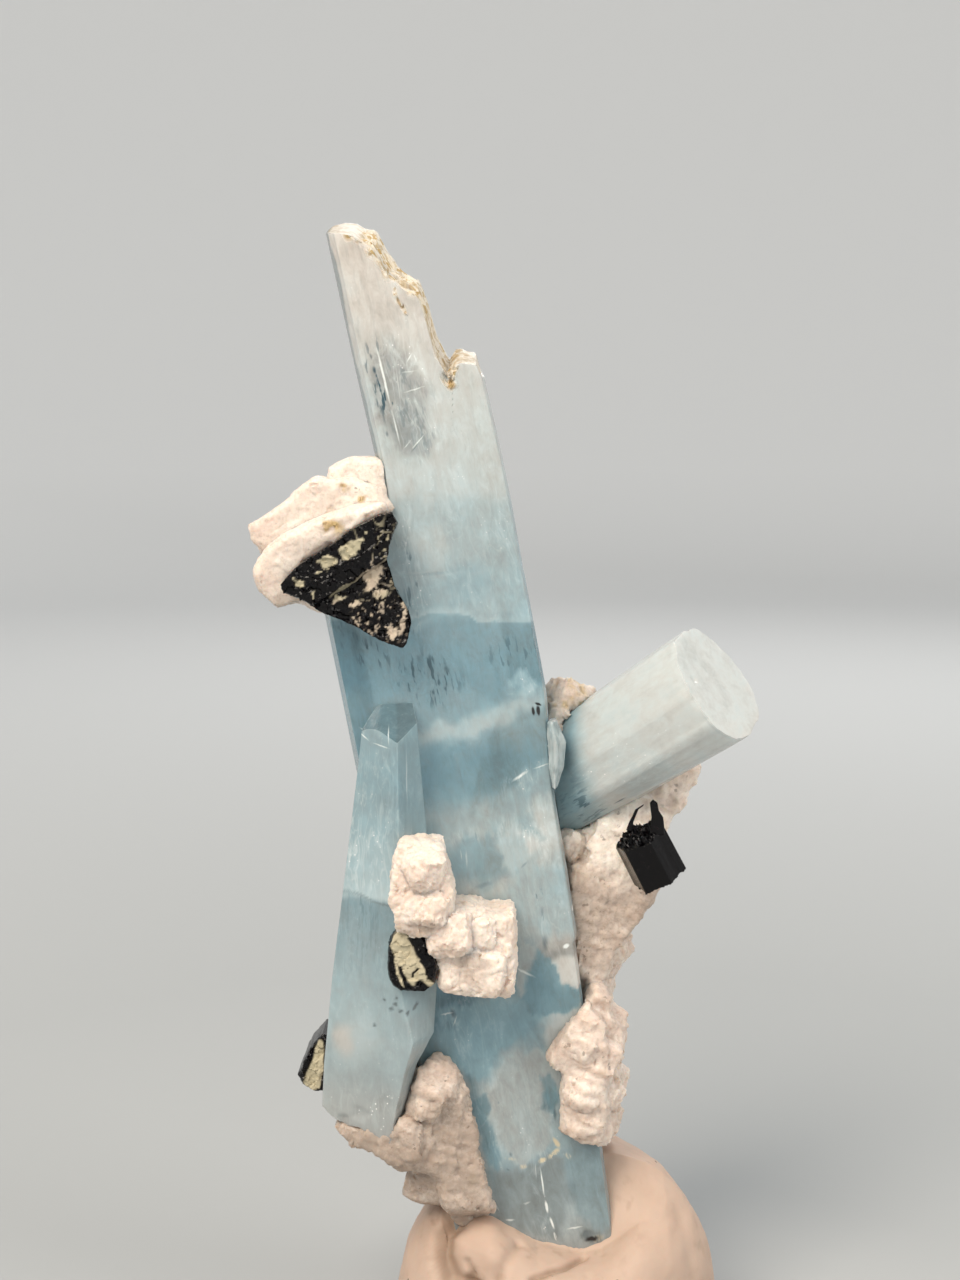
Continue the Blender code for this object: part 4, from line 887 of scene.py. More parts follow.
wisp = (
    0.7 * patch(x, z, (-27.0, 81.5), (4.6, 6.4), 10.0, 0.6)
    + 0.35 * patch(x, z, (-27.0, 92.0), (4.0, 6.0), 0.0, 0.6)
)
FRONT_CRACK = ((-29.0, 97.5), (-27.6, 99.6), (-27.2, 101.6))
wisp += 0.9 * smooth(0.5, 0.1, near_path(grid[..., ::2], FRONT_CRACK)) + 0.2
wisp += 0.7 * patch(x, z, (-27.0, 44.5), (7.0, 3.2), 8.0, 0.6)
dash = (
    0.25 * patch(x, z, (-23.6, 91.0), (1.6, 8.0), 0.0, 0.6)
    + 0.2 * patch(x, z, (-28.0, 77.0), (2.0, 4.0), 0.0, 0.6)
)
dash += 0.3 * below * patch(x, z, (-29.0, 70.0), (4.0, 6.0), 0.0, 0.6)
# Painted shade: the end face is greyed to the right of its ridge.
smoke = on_cap * 0.34 * smooth(-23.2, -22.6, grid[..., 0] + 0.1 * (grid[..., 2] - 100.0))
smoke += (
    0.4 * smooth(0.3, 0.06, np.abs(grid[..., 2] - seam + 0.25)) * (x < -22.0)
    + 0.18 * below * smooth(56.0, 72.0, z)
)
smoke += 0.5 * smooth(62.0, 46.0, z) + 0.24 * on_cap
FRONT_SPECKS = (
    (-23.0, 61.6), (-23.2, 60.6), (-23.8, 59.8), (-22.4, 59.7), (-21.4, 59.4), (-20.5, 59.8), (-20.2, 60.2),
    (-24.8, 61.0), (-26.3, 56.8),
)
for place in FRONT_SPECKS:
    smoke += 1.2 * patch(grid[..., 0], grid[..., 2], place, (0.22, 0.3), -30.0, 0.4)
warm = (
    0.1 + 0.5 * smooth(52.0, 42.0, z) + 0.6 * patch(x, z, (-31.2, 53.6), (1.6, 2.2), 0.0, 0.6)
    + 0.12 * smooth(64.0, 50.0, z)
)
front_shades = shades_of(
    grid, blue, milk, smoke, 0.0 * x, warm, dash, wisp, 0.0 * x + 0.4, grid * 0.001,
)
front_prism = skin("front_prism", grid, front_shades, beryl)
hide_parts("front_crystal")


# The prism that leans out to the right ----------------------------------------------------------------
# A paler, cloudier beryl crystal with a rounded six-sided section and a flat end.  Its root stops
# against the tall prism.
RIGHT_TIP = np.array([23.5, -10.0, 106.0])
RIGHT_LENGTH = 34.0
rise, forward = math.radians(39.0), math.radians(31.0)
right_along = np.array([
    math.cos(forward) * math.cos(rise), -math.sin(forward), math.cos(forward) * math.sin(rise),
])
right_flank = np.array([-math.sin(rise), 0.0, math.cos(rise)])
right_front = np.cross(right_along, right_flank)
RIGHT_CORNERS = np.array([
    (9.1, 2.6), (8.0, 5.4), (4.6, 7.3), (0.0, 8.1), (-4.2, 7.6), (-7.0, 5.6), (-8.3, 3.2), (-8.5, -1.5),
    (-6.8, -6.0), (-2.9, -8.2), (2.9, -7.6), (7.2, -5.0), (9.4, -1.6),
])


def right_place(flat, down):
    """The point at flat = (up the flank, towards the back) on the section, down mm from the tip; the
    crystal tapers by a tenth over its length."""
    size = (0.99 - 0.09 * np.clip(down / RIGHT_LENGTH - 0.12, 0.0, 1.0))[..., None]
    across = flat[..., :1] * right_flank - flat[..., 1:] * right_front
    return RIGHT_TIP - down[..., None] * right_along + across * size


def right_root(flat):
    """How far down from the tip each line along the crystal runs before it meets the tall prism, whose
    room is the space inside all its side planes, 0.3 mm outside them."""
    steps = np.linspace(0.0, RIGHT_LENGTH, 241)
    outside = np.full(flat.shape[:-1] + (steps.size,), -9.0)
    at = right_place(flat[..., None, :] + 0.0 * steps[:, None], np.broadcast_to(steps, outside.shape))
    for k in range(9):
        x, y, nx, ny = main_outline(at[..., 2], np.full(1, k), 0.0)
        outside = np.maximum(outside, (at[..., 0] - x) * nx + (at[..., 1] - y) * ny)
    hit = outside < 0.3
    return np.where(hit.any(-1), steps[np.maximum(hit.argmax(-1) - 1, 0)], RIGHT_LENGTH)


side, share = columns_of(RIGHT_CORNERS, np.full(len(RIGHT_CORNERS), 0.3), 0.5)
one, two = RIGHT_CORNERS[side], RIGHT_CORNERS[(side + 1) % len(RIGHT_CORNERS)]
edge_points = one + (two - one) * share[:, None]
away = np.stack([(two - one)[:, 1], -(two - one)[:, 0]], -1)
away *= np.sign((away * edge_points).sum(-1, keepdims=True)) / np.linalg.norm(away, axis=-1, keepdims=True)
rows = np.linspace(1.0, 0.0, 84)[:, None]
down = rows * right_root(edge_points)
spun = np.stack([edge_points[:, 0] + 0.0 * down, edge_points[:, 1] + 0.0 * down, down], -1)
lift = cloud(spun, (0.5, 0.5, 18.0), 203, 2) * 0.05 + cloud(spun, (1.9, 1.9, 24.0), 205, 1) * 0.06
lift += (
    cloud(spun, (6.0, 6.0, 9.0), 207, 2) * 0.1
    - 0.25 * smooth(1.2, 0.0, down) * smooth(-0.2, 0.5, cloud(spun, 1.6, 209, 2))
)
walls = right_place(edge_points + away * lift[..., None], down)
shrink = np.linspace(1.0, 0.0, 21)[1:, None, None]
inner = edge_points * shrink
ends = right_place(inner, 0.0 * inner[..., 0])
bumps = 0.12 * cloud(ends, 3.5, 211, 3) - 0.22 * smooth(0.62, 0.8, cloud(ends, 1.5, 213, 2))
ends = ends + bumps[..., None] * right_along
roots = right_place(inner[::-1], right_root(inner[::-1]))
grid = np.concatenate([roots, walls, ends])
spun = np.concatenate([np.concatenate([inner[::-1], right_root(inner[::-1])[..., None]], -1), spun,
                       np.concatenate([inner, 0.0 * inner[..., :1]], -1)])
flank, deep, down = spun[..., 0], spun[..., 1], spun[..., 2]
wander = cloud(grid, 5.0, 215, 3)
# An inner growth front crosses the crystal: pale and cloudy beyond it, blue and clearer at the root.
inside = down - 24.0 + 0.35 * (flank + 4.0) + 0.9 * wander
core = smooth(-2.4, 3.4, inside)
blue = 0.03 + 0.42 * core + 0.05 * wander + 0.07 * smooth(3.0, 20.0, down) - 0.02 * (down < 0.05)
milk = 0.92 - 0.2 * core + 0.12 * wander
# The wisps also carry painted glints, most of them on the lower flank.
wisp = (
    0.9 * patch(flank, down, (-3.0, 15.5), (5.0, 9.0), 0.0, 0.8)
    + 0.4 * smooth(0.9, 0.1, np.abs(inside + 0.6)) + 0.1
)
dash = 0.9 * core * patch(flank, down, (-4.0, 27.0), (4.0, 3.4), 0.0, 0.8) + 0.03
smoke = 0.3 * smooth(0.4, 0.7, cloud(grid, 1.0, 223, 2)) * patch(flank, deep, (2.5, 0.0), (2.6, 2.6))
smoke = smoke * (down < 0.05)
smoke += 0.25 * smooth(0.35, 0.1, np.abs(down - 0.35)) * smooth(-0.2, 0.4, cloud(spun, 3.0, 225, 2))
warm = 0.3 * smooth(-6.5, -8.0, flank) + 0.25 * smooth(0.2, 0.8, wander) * (1.0 - core) + 0.08 * (1.0 - core)
right_shades = shades_of(
    grid, blue, milk, smoke, 0.0 * blue, warm, dash, wisp, 0.0 * blue + 0.6, spun * 0.001,
)
right_prism = skin("right_prism", grid, right_shades, beryl, 44.0)
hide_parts("right_crystal")


# Pieces that keep the shape of their solid ------------------------------------------------------------
# The small blade, the four schorls and the three feldspar masses are cut to fit round their neighbours.
# Each is a fine, even skin over its own solid, which is then worked: cleaved, ribbed or crusted.


def grown(node, voxel):
    """Points in mm, their outward directions and the four-cornered faces of an even skin, voxel mm fine,
    over a merged copy of a node."""
    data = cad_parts[node].data.copy()
    bm = bmesh.new()
    bm.from_mesh(data)
    bmesh.ops.remove_doubles(bm, verts=bm.verts, dist=1e-7)
    bm.to_mesh(data)
    bm.free()
    copy = bpy.data.objects.new("copy_of_" + node, data)
    bpy.context.scene.collection.objects.link(copy)
    even = copy.modifiers.new("even", "REMESH")
    even.mode, even.voxel_size = "VOXEL", voxel * 0.001
    mesh = copy.evaluated_get(bpy.context.evaluated_depsgraph_get()).to_mesh()
    points, facing = np.empty(len(mesh.vertices) * 3), np.empty(len(mesh.vertices) * 3)
    mesh.vertices.foreach_get("co", points)
    mesh.vertex_normals.foreach_get("vector", facing)
    corners = np.empty(len(mesh.loops), np.int64)
    mesh.loops.foreach_get("vertex_index", corners)
    assert len(mesh.loops) == 4 * len(mesh.polygons)
    bpy.data.objects.remove(copy)
    return points.reshape(-1, 3) * 1000.0, facing.reshape(-1, 3), corners.reshape(-1, 4)


points, facing, faces = grown("blade_crystal", 0.2)
points = points + facing * (0.1 + 0.12 * cloud(points, (0.6, 0.6, 2.5), 301, 2))[:, None]
none = np.zeros(len(points))
blade_shades = shades_of(
    points, none + 0.2, 0.7 + 0.3 * cloud(points, 1.0, 303, 2), 0.3 * smooth(98.4, 99.6, points[:, 2]),
    none, none + 0.1, none + 0.3, none + 0.3, none + 0.5, points * 0.001,
)
blade_spindle = settle("blade_spindle", points, [faces], blade_shades, beryl, 40.0)
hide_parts("blade_crystal")


# Schorl ------------------------------------------------------------------------------------------------
# Black tourmaline: glassy, ribbed along its length, and partly coated by a thin beige crust of clay and
# fine feldspar that breaks off in islands.
schorl, tree, out = finish_of("schorl_tourmaline")
coords = add(tree, "TexCoord").outputs["Object"]
film = add(tree, "Attribute", {"attribute_name": "film"}).outputs["Fac"]
warm = add(tree, "Attribute", {"attribute_name": "warm"}).outputs["Fac"]
speckle = add(
    tree, "TexNoise", {"Scale": 1700.0, "Detail": 4.0, "Roughness": 0.7}, {"Vector": coords},
).outputs["Fac"]
umber = product(tree, 0.5, (speckle, 0.52, 0.72), (speckle, 0.52, 0.72))
clay = layered(tree, "#A39C7E", (warm, "#AD978C"), (speckle, "#CFC5AC"))
coat = layered(tree, "#050406", (umber, "#2A1F22"), (film, clay))
dull = add(tree, "Math", {"operation": "MULTIPLY_ADD", 1: 0.55, 2: 0.2, "use_clamp": True}, {0: film})
relief = add(tree, "Bump", {"Strength": 0.5, "Distance": 0.00012}, {"Height": speckle})
glossy = add(
    tree, "BsdfPrincipled", {"IOR": 1.64, "Specular IOR Level": 0.16},
    {"Base Color": coat, "Roughness": dull.outputs[0], "Normal": relief.outputs[0]},
)
tree.links.new(glossy.outputs[0], out.inputs["Surface"])


def ribbed(node, axis, voxel, seed, depth=0.16):
    """A schorl from its solid: lengthwise ribs, from noise that is stretched along its axis, on the faces
    that run along it, and a hackly break on its ends.  Also gives how much each point faces an end."""
    points, facing, faces = grown(node, voxel)
    axis = np.array(axis) / np.linalg.norm(axis)
    along = points @ axis
    ends = smooth(0.55, 0.85, np.abs(facing @ axis))
    flat = points - 0.95 * along[:, None] * axis
    ribs = depth * cloud(flat, 0.75, seed, 2) + 0.5 * depth * cloud(flat, 0.3, seed + 2, 1)
    broken = 0.5 * (crumbs(points, 1.5, seed + 4)[2] - 0.5)
    broken += 0.25 * (crumbs(points, 0.6, seed + 9)[2] - 0.5)
    return points + facing * (ribs * (1.0 - ends) + broken * ends)[:, None], facing, faces, ends


points, facing, faces, _ = ribbed("upper_schorl", (-0.05, 1.0, 0.06), 0.2, 401, 0.1)
x, z = points[:, ::2].T
front = smooth(0.5, 0.8, -facing[:, 1])
# The end towards the viewer: a long upper ledge, a step down to a hollow, and a lower lobe.
ledge = z - (118.4 + 0.62 * (x + 34.0))
lower = z - (113.6 - 0.12 * (x + 24.0))
relief = (
    0.55 * smooth(-0.25, 0.25, ledge) - 0.5 * smooth(0.2, -0.4, ledge) * smooth(-0.4, 0.6, lower)
    - 0.25 * cloud(points, 2.6, 411, 2)
)
relief += 0.35 * smooth(0.35, -0.1, np.abs(ledge - 3.0 + 0.8 * cloud(points, 2.0, 413, 2)))
points[:, 1] -= front * relief
ragged = np.stack([cloud(points, 1.3, seed, 3) for seed in (417, 418)], -1) * 0.9
ragged += np.stack([cloud(points, 0.5, seed, 2) for seed in (419, 420)], -1) * 0.35
spots = [  # centre, half sizes, lean of each patch of crust
    ((-32.2, 124.2), (1.35, 0.9), 10.0), ((-29.2, 126.2), (0.75, 1.6), -35.0),
    ((-28.0, 126.9), (0.7, 0.7), 0.0), ((-36.4, 121.4), (0.6, 0.8), 0.0), ((-27.0, 128.6), (0.4, 0.4), 0.0),
    ((-33.6, 122.6), (0.4, 0.35), 0.0), ((-34.6, 119.8), (0.4, 0.6), 0.0),
    ((-26.0, 121.8), (1.1, 2.0), -28.0), ((-24.9, 119.6), (0.9, 0.8), 0.0),
    ((-31.0, 119.0), (1.0, 0.45), 30.0), ((-22.2, 115.2), (0.4, 1.5), -12.0),
    ((-23.4, 114.2), (0.7, 0.6), 0.0), ((-28.9, 115.8), (0.25, 0.7), 25.0),
    ((-28.6, 118.4), (0.8, 0.45), 25.0), ((-21.6, 117.2), (0.35, 1.1), -12.0),
    ((-28.2, 116.2), (0.2, 0.5), 35.0), ((-23.2, 124.8), (0.5, 0.3), 40.0),
    ((-23.9, 115.0), (0.4, 0.3), 0.0),
]
film = 0.0 * x
for spot in spots:
    film = np.maximum(film, patch(x + ragged[:, 0], z + ragged[:, 1], *spot, 0.12))
flecks = smooth(0.3, 0.42, cloud(points, 0.55, 423, 2)) * patch(x, z, (-24.6, 116.6), (3.6, 3.6), 0.0, 0.5)
dust = smooth(0.34, 0.44, cloud(points, 0.5, 427, 2)) * patch(x, z, (-23.0, 123.5), (1.8, 5.5), 12.0, 0.5)
flecks = np.maximum(flecks, dust)
veins = smooth(0.2, 0.1, np.abs(ledge + 0.7 * cloud(points, 1.8, 425, 2)))
veins = veins * smooth(-0.25, 0.1, cloud(points, 2.2, 429, 2))
lines = smooth(0.05, 0.02, np.abs(cloud(points, 3.4, 428, 2)))
lines = lines * patch(x, z, (-25.4, 125.6), (3.0, 6.0), 20.0, 0.5)
film = np.maximum(np.maximum(film, 0.75 * flecks), np.maximum(0.6 * veins, 0.5 * lines))
film = np.clip(film, 0.0, 1.0) * front
points[:, 1] -= 0.12 * film
warm = smooth(119.5, 118.0, z) + patch(x, z, (-25.9, 122.1), (2.2, 2.8))
warm = np.clip(warm, 0.0, 1.0)
schorl_upper = settle("schorl_upper", points, [faces], {"film": film, "warm": warm}, schorl, 32.0)
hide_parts("upper_schorl")

points, facing, faces, _ = ribbed("front_schorl", (0.0, -1.0, 0.03), 0.15, 431, 0.1)
x, z = points[:, ::2].T
flat = np.stack([x + 0.25 * cloud(points, 1.4, 433, 3), z + 0.25 * cloud(points, 1.4, 437, 3)], -1)
# A plate of crust covers the middle; cracks, the left rim and the foot are bare.
film = smooth(0.2, -0.1, near_path(flat, ((-22.4, 70.6), (-21.4, 68.0), (-20.0, 65.6))) - 1.45)
film = np.maximum(film, smooth(0.3, 0.1, near_path(flat, ((-23.0, 68.0), (-22.7, 65.8), (-21.8, 64.0)))))
film = np.maximum(film, 0.8 * smooth(0.6, 0.3, near_path(flat, ((-18.4, 64.6), (-17.4, 64.0)))))
for crack in (((-20.7, 65.4), (-20.6, 66.0), (-19.9, 66.6)), ((-19.5, 67.6), (-18.5, 66.9), (-18.5, 65.8)),
              ((-22.3, 66.8), (-22.0, 65.2), (-21.5, 63.8)), ((-21.1, 71.0), (-20.5, 70.0))):
    film *= 1.0 - smooth(0.24, 0.1, near_path(flat, crack))
film *= 1.0 - smooth(0.2, -0.2, near_path(flat, ((-19.6, 64.2), (-18.7, 63.6))) - 0.7)
film *= smooth(0.3, 0.7, -facing[:, 1])
points = points + facing * (0.1 * film)[:, None]
warm = 0.15 + 0.0 * film
schorl_front = settle("schorl_front", points, [faces], {"film": film, "warm": warm}, schorl, 32.0)
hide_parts("front_schorl")

way = np.array([-0.44, -0.24, 0.86])
points, facing, faces, ends = ribbed("right_schorl", way, 0.15, 451, 0.04)
high_end = ends * smooth(79.0, 82.0, points[:, 2])
ragged = 1.4 * np.maximum(0.0, cloud(points, (0.5, 0.5, 3.0), 455, 2))
ragged += 0.7 * (crumbs(points, 0.7, 457)[2] - 0.5)
points += way * (high_end * ragged)[:, None]
film = 0.07 * smooth(0.3, 0.6, -facing[:, 0]) * (1.0 - high_end)
schorl_right = settle("schorl_right", points, [faces], {"film": film, "warm": 0.0 * film}, schorl, 32.0)
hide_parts("right_schorl")


def splinter(name, path, widths, thin):
    """A flat splinter along a path: ellipses of the given half widths, thin times as deep as wide."""
    path, widths = np.array(path, float), np.array(widths, float)[:, None]
    round_way = np.linspace(0.0, math.tau, 13)[:-1]
    x = path[:, :1] + widths * np.cos(round_way)
    y = path[:, 1:2] + thin * widths * np.sin(round_way)
    grid = np.stack([x, y, path[:, 2:] + 0.0 * x], -1)
    none = np.zeros(grid.shape[:2])
    made = skin(name, grid, {"film": none, "warm": none}, schorl)
    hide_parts("right_schorl")


splinter("schorl_spike", (
    (15.0, -9.6, 83.6), (15.0, -9.6, 84.0), (14.9, -9.8, 85.6), (14.9, -10.0, 86.6), (14.5, -10.1, 87.6),
    (14.3, -10.2, 88.8), (14.2, -10.2, 89.3),
), (0.0, 1.1, 1.0, 0.85, 0.6, 0.55, 0.0), 0.35)
splinter("schorl_wisp", (
    (10.9, -9.6, 84.2), (10.9, -9.6, 84.6), (11.1, -9.8, 85.8), (11.5, -10.0, 86.8), (11.9, -10.1, 87.8),
    (12.6, -10.2, 88.3), (12.9, -10.2, 88.6),
), (0.0, 0.5, 0.32, 0.26, 0.24, 0.2, 0.0), 0.6)

points, facing, faces, _ = ribbed("left_schorl", (0.0, -1.0, 0.02), 0.15, 461)
x, z = points[:, ::2].T
flat = np.stack([x + 0.3 * cloud(points, 1.2, 463, 3), z + 0.3 * cloud(points, 1.2, 467, 3)], -1)
reach = np.interp(z, [42.0, 44.0, 51.0], [1.2, 1.3, 0.35])
film = smooth(0.2, -0.1, near_path(flat, ((-35.2, 50.4), (-35.8, 47.0), (-36.6, 44.0))) - reach)
film *= smooth(0.2, 0.6, -facing[:, 1])
schorl_left = settle("schorl_left", points, [faces], {"film": film, "warm": 0.0 * film}, schorl, 32.0)
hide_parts("left_schorl")


# Feldspar ----------------------------------------------------------------------------------------------
# White to pinkish albite, grown as sugary masses of blocky crystals.  It cleaves two ways at nearly right
# angles, so its skin is small flat faces and steps.  Tan iron stain sits in the coarse grains.
albite, tree, out = finish_of("albite_feldspar")
coords = add(tree, "TexCoord").outputs["Object"]
masks = {
    key: add(tree, "Attribute", {"attribute_name": key}).outputs["Fac"]
    for key in ("stain", "blush", "grey", "pit")
}
# Grains of about 0.5 mm, and a cloudiness of 3 mm.
sugar = add(tree, "TexVoronoi", {"Scale": 2300.0, "feature": "F1"}, {"Vector": coords})
bloom = add(
    tree, "TexNoise", {"Scale": 330.0, "Detail": 5.0, "Roughness": 0.65}, {"Vector": coords},
).outputs["Fac"]
grainy = add(tree, "SeparateColor", {}, {"Color": sugar.outputs["Color"]}).outputs[0]
fine = add(
    tree, "TexNoise", {"Scale": 1500.0, "Detail": 4.0, "Roughness": 0.7}, {"Vector": coords},
).outputs["Fac"]
# The grey attribute holds grey tone together with painted shade, and is lowered where light is painted; here
# it mixes the stone toward #AD9C8E.
freckles_and_shade = sum_of(tree, masks["grey"], (grainy, 0.16), (product(tree, 1.0, (fine, 0.46, 0.66)), 0.28))
tinted = layered(
    tree, "#F7EEE3", (sum_of(tree, masks["blush"], (bloom, 0.35)), "#E4CDBE"), (freckles_and_shade, "#AD9C8E"),
    (product(tree, 0.8, masks["pit"], bloom), "#A98E7C"),
    (masks["stain"], layered(tree, "#8F7443", (grainy, "#D6BC8A"))),
    (product(tree, 0.5, (grainy, 0.93, 0.95), (bloom, 0.55, 0.62)), "#6B5C50"),
)
height = sum_of(tree, grainy, (fine, 0.8))
relief = add(tree, "Bump", {"Strength": 0.55, "Distance": 0.00014}, {"Height": height})
polish = add(tree, "Math", {"operation": "MULTIPLY_ADD", 1: 0.4, 2: 0.36, "use_clamp": True}, {0: grainy})
stone = add(
    tree, "BsdfPrincipled",
    {"IOR": 1.53, "Subsurface Weight": 0.45, "Subsurface Scale": 0.0022,
     "Subsurface Radius": (1.0, 0.7, 0.5)},
    {"Base Color": tinted, "Roughness": polish.outputs[0], "Normal": relief.outputs[0]},
)
tree.links.new(stone.outputs[0], out.inputs["Surface"])


def cleaved(points, facing, size, seed, cleavage, pull, tilt, most):
    """Cuts the skin into flat faces.  Points that share their nearest random centre, one in each box of
    size mm, move along their own outward directions to one plane through their middle.  It faces as
    they do on average, pulled towards the nearest cleavage direction and tilted at random."""
    group = np.unique(crumbs(points, size, seed)[2], return_inverse=True)[1]
    count = np.bincount(group)[:, None]
    middle = np.stack([np.bincount(group, points[:, i]) for i in range(3)], -1) / count
    plane = np.stack([np.bincount(group, facing[:, i]) for i in range(3)], -1) / count
    ways = np.concatenate([cleavage, -cleavage])
    tilted = tilt * np.random.default_rng(seed).normal(size=plane.shape)
    plane += pull * ways[(plane @ ways.T).argmax(1)] + tilted
    plane /= np.linalg.norm(plane, axis=1, keepdims=True)
    gap = ((middle[group] - points) * plane[group]).sum(1)
    reach = np.maximum((facing * plane[group]).sum(1), 0.35)
    return points + facing * np.clip(gap / reach, -most, most)[:, None]


def turned(lean, tip):
    """Three directions at right angles, leaned about the depth axis and tipped about the level one."""
    a, b = math.radians(lean), math.radians(tip)
    spin = np.array([[math.cos(a), 0, math.sin(a)], [0, 1, 0], [-math.sin(a), 0, math.cos(a)]])
    roll = np.array([[1, 0, 0], [0, math.cos(b), -math.sin(b)], [0, math.sin(b), math.cos(b)]])
    return (spin @ roll).T


def feldspar(node, voxel, seed, lean, tip, coarse, most, rough):
    """One feldspar mass from its solid, grown outwards by 0.4 mm so that it meets its neighbours, then
    cleaved by up to most mm into faces coarse mm wide and again into smaller ones, and covered with
    grains that rough scales."""
    points, facing, faces = grown(node, voxel)
    points = points + facing * (0.4 + 0.15 * cloud(points, 5.0, seed, 2))[:, None]
    ways = turned(lean, tip)
    points = cleaved(points, facing, coarse, seed + 3, ways, 1.2, 0.12, most)
    points = cleaved(points, facing, coarse * 0.4, seed + 5, ways, 0.6, 0.15, 0.3 * most)
    steps = 0.14 * (crumbs(points, 1.2, seed + 9)[2] - 0.5)
    steps += 0.1 * (crumbs(points, 0.65, seed + 13)[2] - 0.5)
    steps = rough * (steps + 0.06 * cloud(points, 1.3, seed + 15, 2))
    points = points + facing * steps[:, None]
    pit = smooth(0.0, 0.08, -steps) * 0.4 + 0.3 * smooth(0.0, 0.6, cloud(points, 2.0, seed + 17, 2))
    return points, facing, faces, pit


points, facing, faces, pit = feldspar("feldspar_matrix", 0.37, 501, 20.0, 12.0, 3.4, 0.25, 1.3)
# It grew in thin leaves, which show as wavy ledges that fall to the right.
sheared = points + np.outer(points[:, 0], (0.0, 0.0, 0.35))
leaves = cloud(sheared, (5.0, 5.0, 0.9), 531, 2)
points = points + facing * (0.35 * leaves)[:, None]
# The lowest lump dives behind the putty, and the slab under the front prism stops at that prism's edge.
points[:, 1] += 4.5 * smooth(28.5, 24.0, points[:, 2]) * smooth(-8.0, -9.5, points[:, 0])
beyond = np.minimum(points[:, 0] + 33.6, 0.0) * (points[:, 2] < 50.0)
points[:, 0] -= 0.85 * beyond
x, z = points[:, ::2].T
wander = cloud(points, 4.0, 521, 3)
grit = cloud(points, 0.9, 523, 2)
stain = 0.75 * patch(x, z, (3.4, 100.0), (6.5, 5.5), 0.0, 0.5) * smooth(-0.15, 0.5, grit + 0.6 * wander)
stain += 0.12 * smooth(0.35, 0.8, wander)
# Painted light: a patch below the right prism is made paler and less pink, against that prism's shadow.
painted_light = patch(x, z, (9.0, 84.0), (9.0, 8.0), -20.0, 0.6)
blush = 0.45 + 0.4 * wander + 0.4 * leaves - 0.6 * painted_light
grey = 0.2 + 0.22 * cloud(points, 7.0, 525, 2) + 0.2 * leaves - 0.5 * painted_light
# Painted shade: greyer between 60 and 84 mm up, and on the lower left.
grey += 0.3 * smooth(60.0, 66.0, z) * smooth(84.0, 76.0, z)
grey += 0.6 * smooth(54.0, 40.0, z) * smooth(-8.0, -12.0, x)
grey -= 0.1 * patch(x, z, (5.5, 48.0), (5.0, 10.0), 0.0, 0.6)
# Painted light: paler where the right prism's shadow falls on the lump's top.
grey -= 0.5 * patch(x, z, (17.0, 89.0), (6.0, 5.0), 0.0, 0.6)
shades = {"stain": stain, "blush": blush, "grey": grey, "pit": pit}
feldspar_body = settle("feldspar_body", points, [faces], shades, albite, 50.0)
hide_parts("feldspar_matrix")

points, _, faces, pit = feldspar("upper_feldspar", 0.24, 601, -33.0, -10.0, 4.4, 0.1, 0.5)
x, z = points[:, ::2].T
wander = cloud(points, 4.0, 621, 3)
grit = cloud(points, 0.8, 623, 3)
spots = painted(x, z, (
    (-30.4, 134.6, 1.0, 0.5, -30.0, 0.5, 1.0), (-28.4, 133.2, 1.0, 0.8, -35.0, 0.5, 1.0),
    (-32.6, 129.2, 1.3, 1.0, 10.0, 0.5, 1.0), (-31.2, 128.8, 1.0, 1.0, 0.0, 0.5, 0.8),
    (-33.2, 131.6, 1.2, 0.2, 0.0, 0.5, 0.5),
))
stain = 0.9 * smooth(-0.25, 0.2, grit) * spots
rim = ((-39.6, 117.9), (-37.0, 120.0), (-33.0, 123.6), (-29.0, 126.8), (-26.2, 129.4), (-24.0, 130.6))
blush = 0.1 + 0.3 * wander + 0.35 * smooth(-38.0, -43.0, x)
# Painted shade: a grey band along the rim above the schorl.
grey = 0.1 + 0.1 * wander + 0.4 * smooth(1.8, 0.9, near_path(points[:, ::2], rim))
shades = {"stain": stain, "blush": blush, "grey": grey, "pit": 0.5 * pit}
feldspar_top = settle("feldspar_top", points, [faces], shades, albite, 50.0)
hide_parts("upper_feldspar")

points, _, faces, pit = feldspar("front_feldspar", 0.19, 701, 6.0, 8.0, 2.6, 0.22, 1.5)
x, z = points[:, ::2].T
wander = cloud(points, 3.0, 721, 3)
stain = 0.1 * smooth(0.1, 0.6, wander) + 0.2 * smooth(0.4, 0.7, cloud(points, 0.7, 723, 2))
# Painted shade on the hollow faces under the lumps.
grey = -0.2 + 0.12 * wander + painted(x, z, (
    (-19.6, 73.2, 2.6, 1.6, 15.0, 0.5, 0.6), (-12.0, 66.6, 2.8, 2.6, 0.0, 0.7, 0.5),
    (-9.0, 63.0, 3.4, 1.2, 0.0, 0.7, 0.3),
))
shades = {"stain": stain, "blush": 0.4 + 0.4 * wander, "grey": grey, "pit": 0.3 * pit}
feldspar_lumps = settle("feldspar_lumps", points, [faces], shades, albite, 50.0)
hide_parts("front_feldspar")


# The putty foot -----------------------------------------------------------------------------------------
# A lump of beige display putty, kneaded warm, pressed down on the table and pinched up round the tall
# prism's foot.  Its folds and dents are left by fingers.
PUTTY_HALF = (25.2, 20.5)
PUTTY_CROWN = np.array([  # across, the crown's height behind the tall prism, the rim's height before it
    (-24.0, 22.0, 22.0), (-22.0, 25.0, 24.5), (-19.0, 27.4, 26.6), (-17.0, 28.8, 27.2), (-13.4, 28.6, 25.9),
    (-9.3, 28.5, 25.0), (-6.8, 28.5, 23.3), (-2.4, 28.8, 20.7), (1.9, 29.5, 19.6), (4.8, 30.6, 19.0),
    (7.4, 31.6, 19.6), (9.7, 32.0, 21.6), (13.0, 31.6, 24.6), (17.5, 31.0, 27.0), (21.0, 29.5, 27.4),
    (25.0, 28.5, 27.0),
])
climbs = np.concatenate([np.linspace(0.0, 0.08, 14)[:-1], np.linspace(0.08, 0.999, 150)])[:, None]
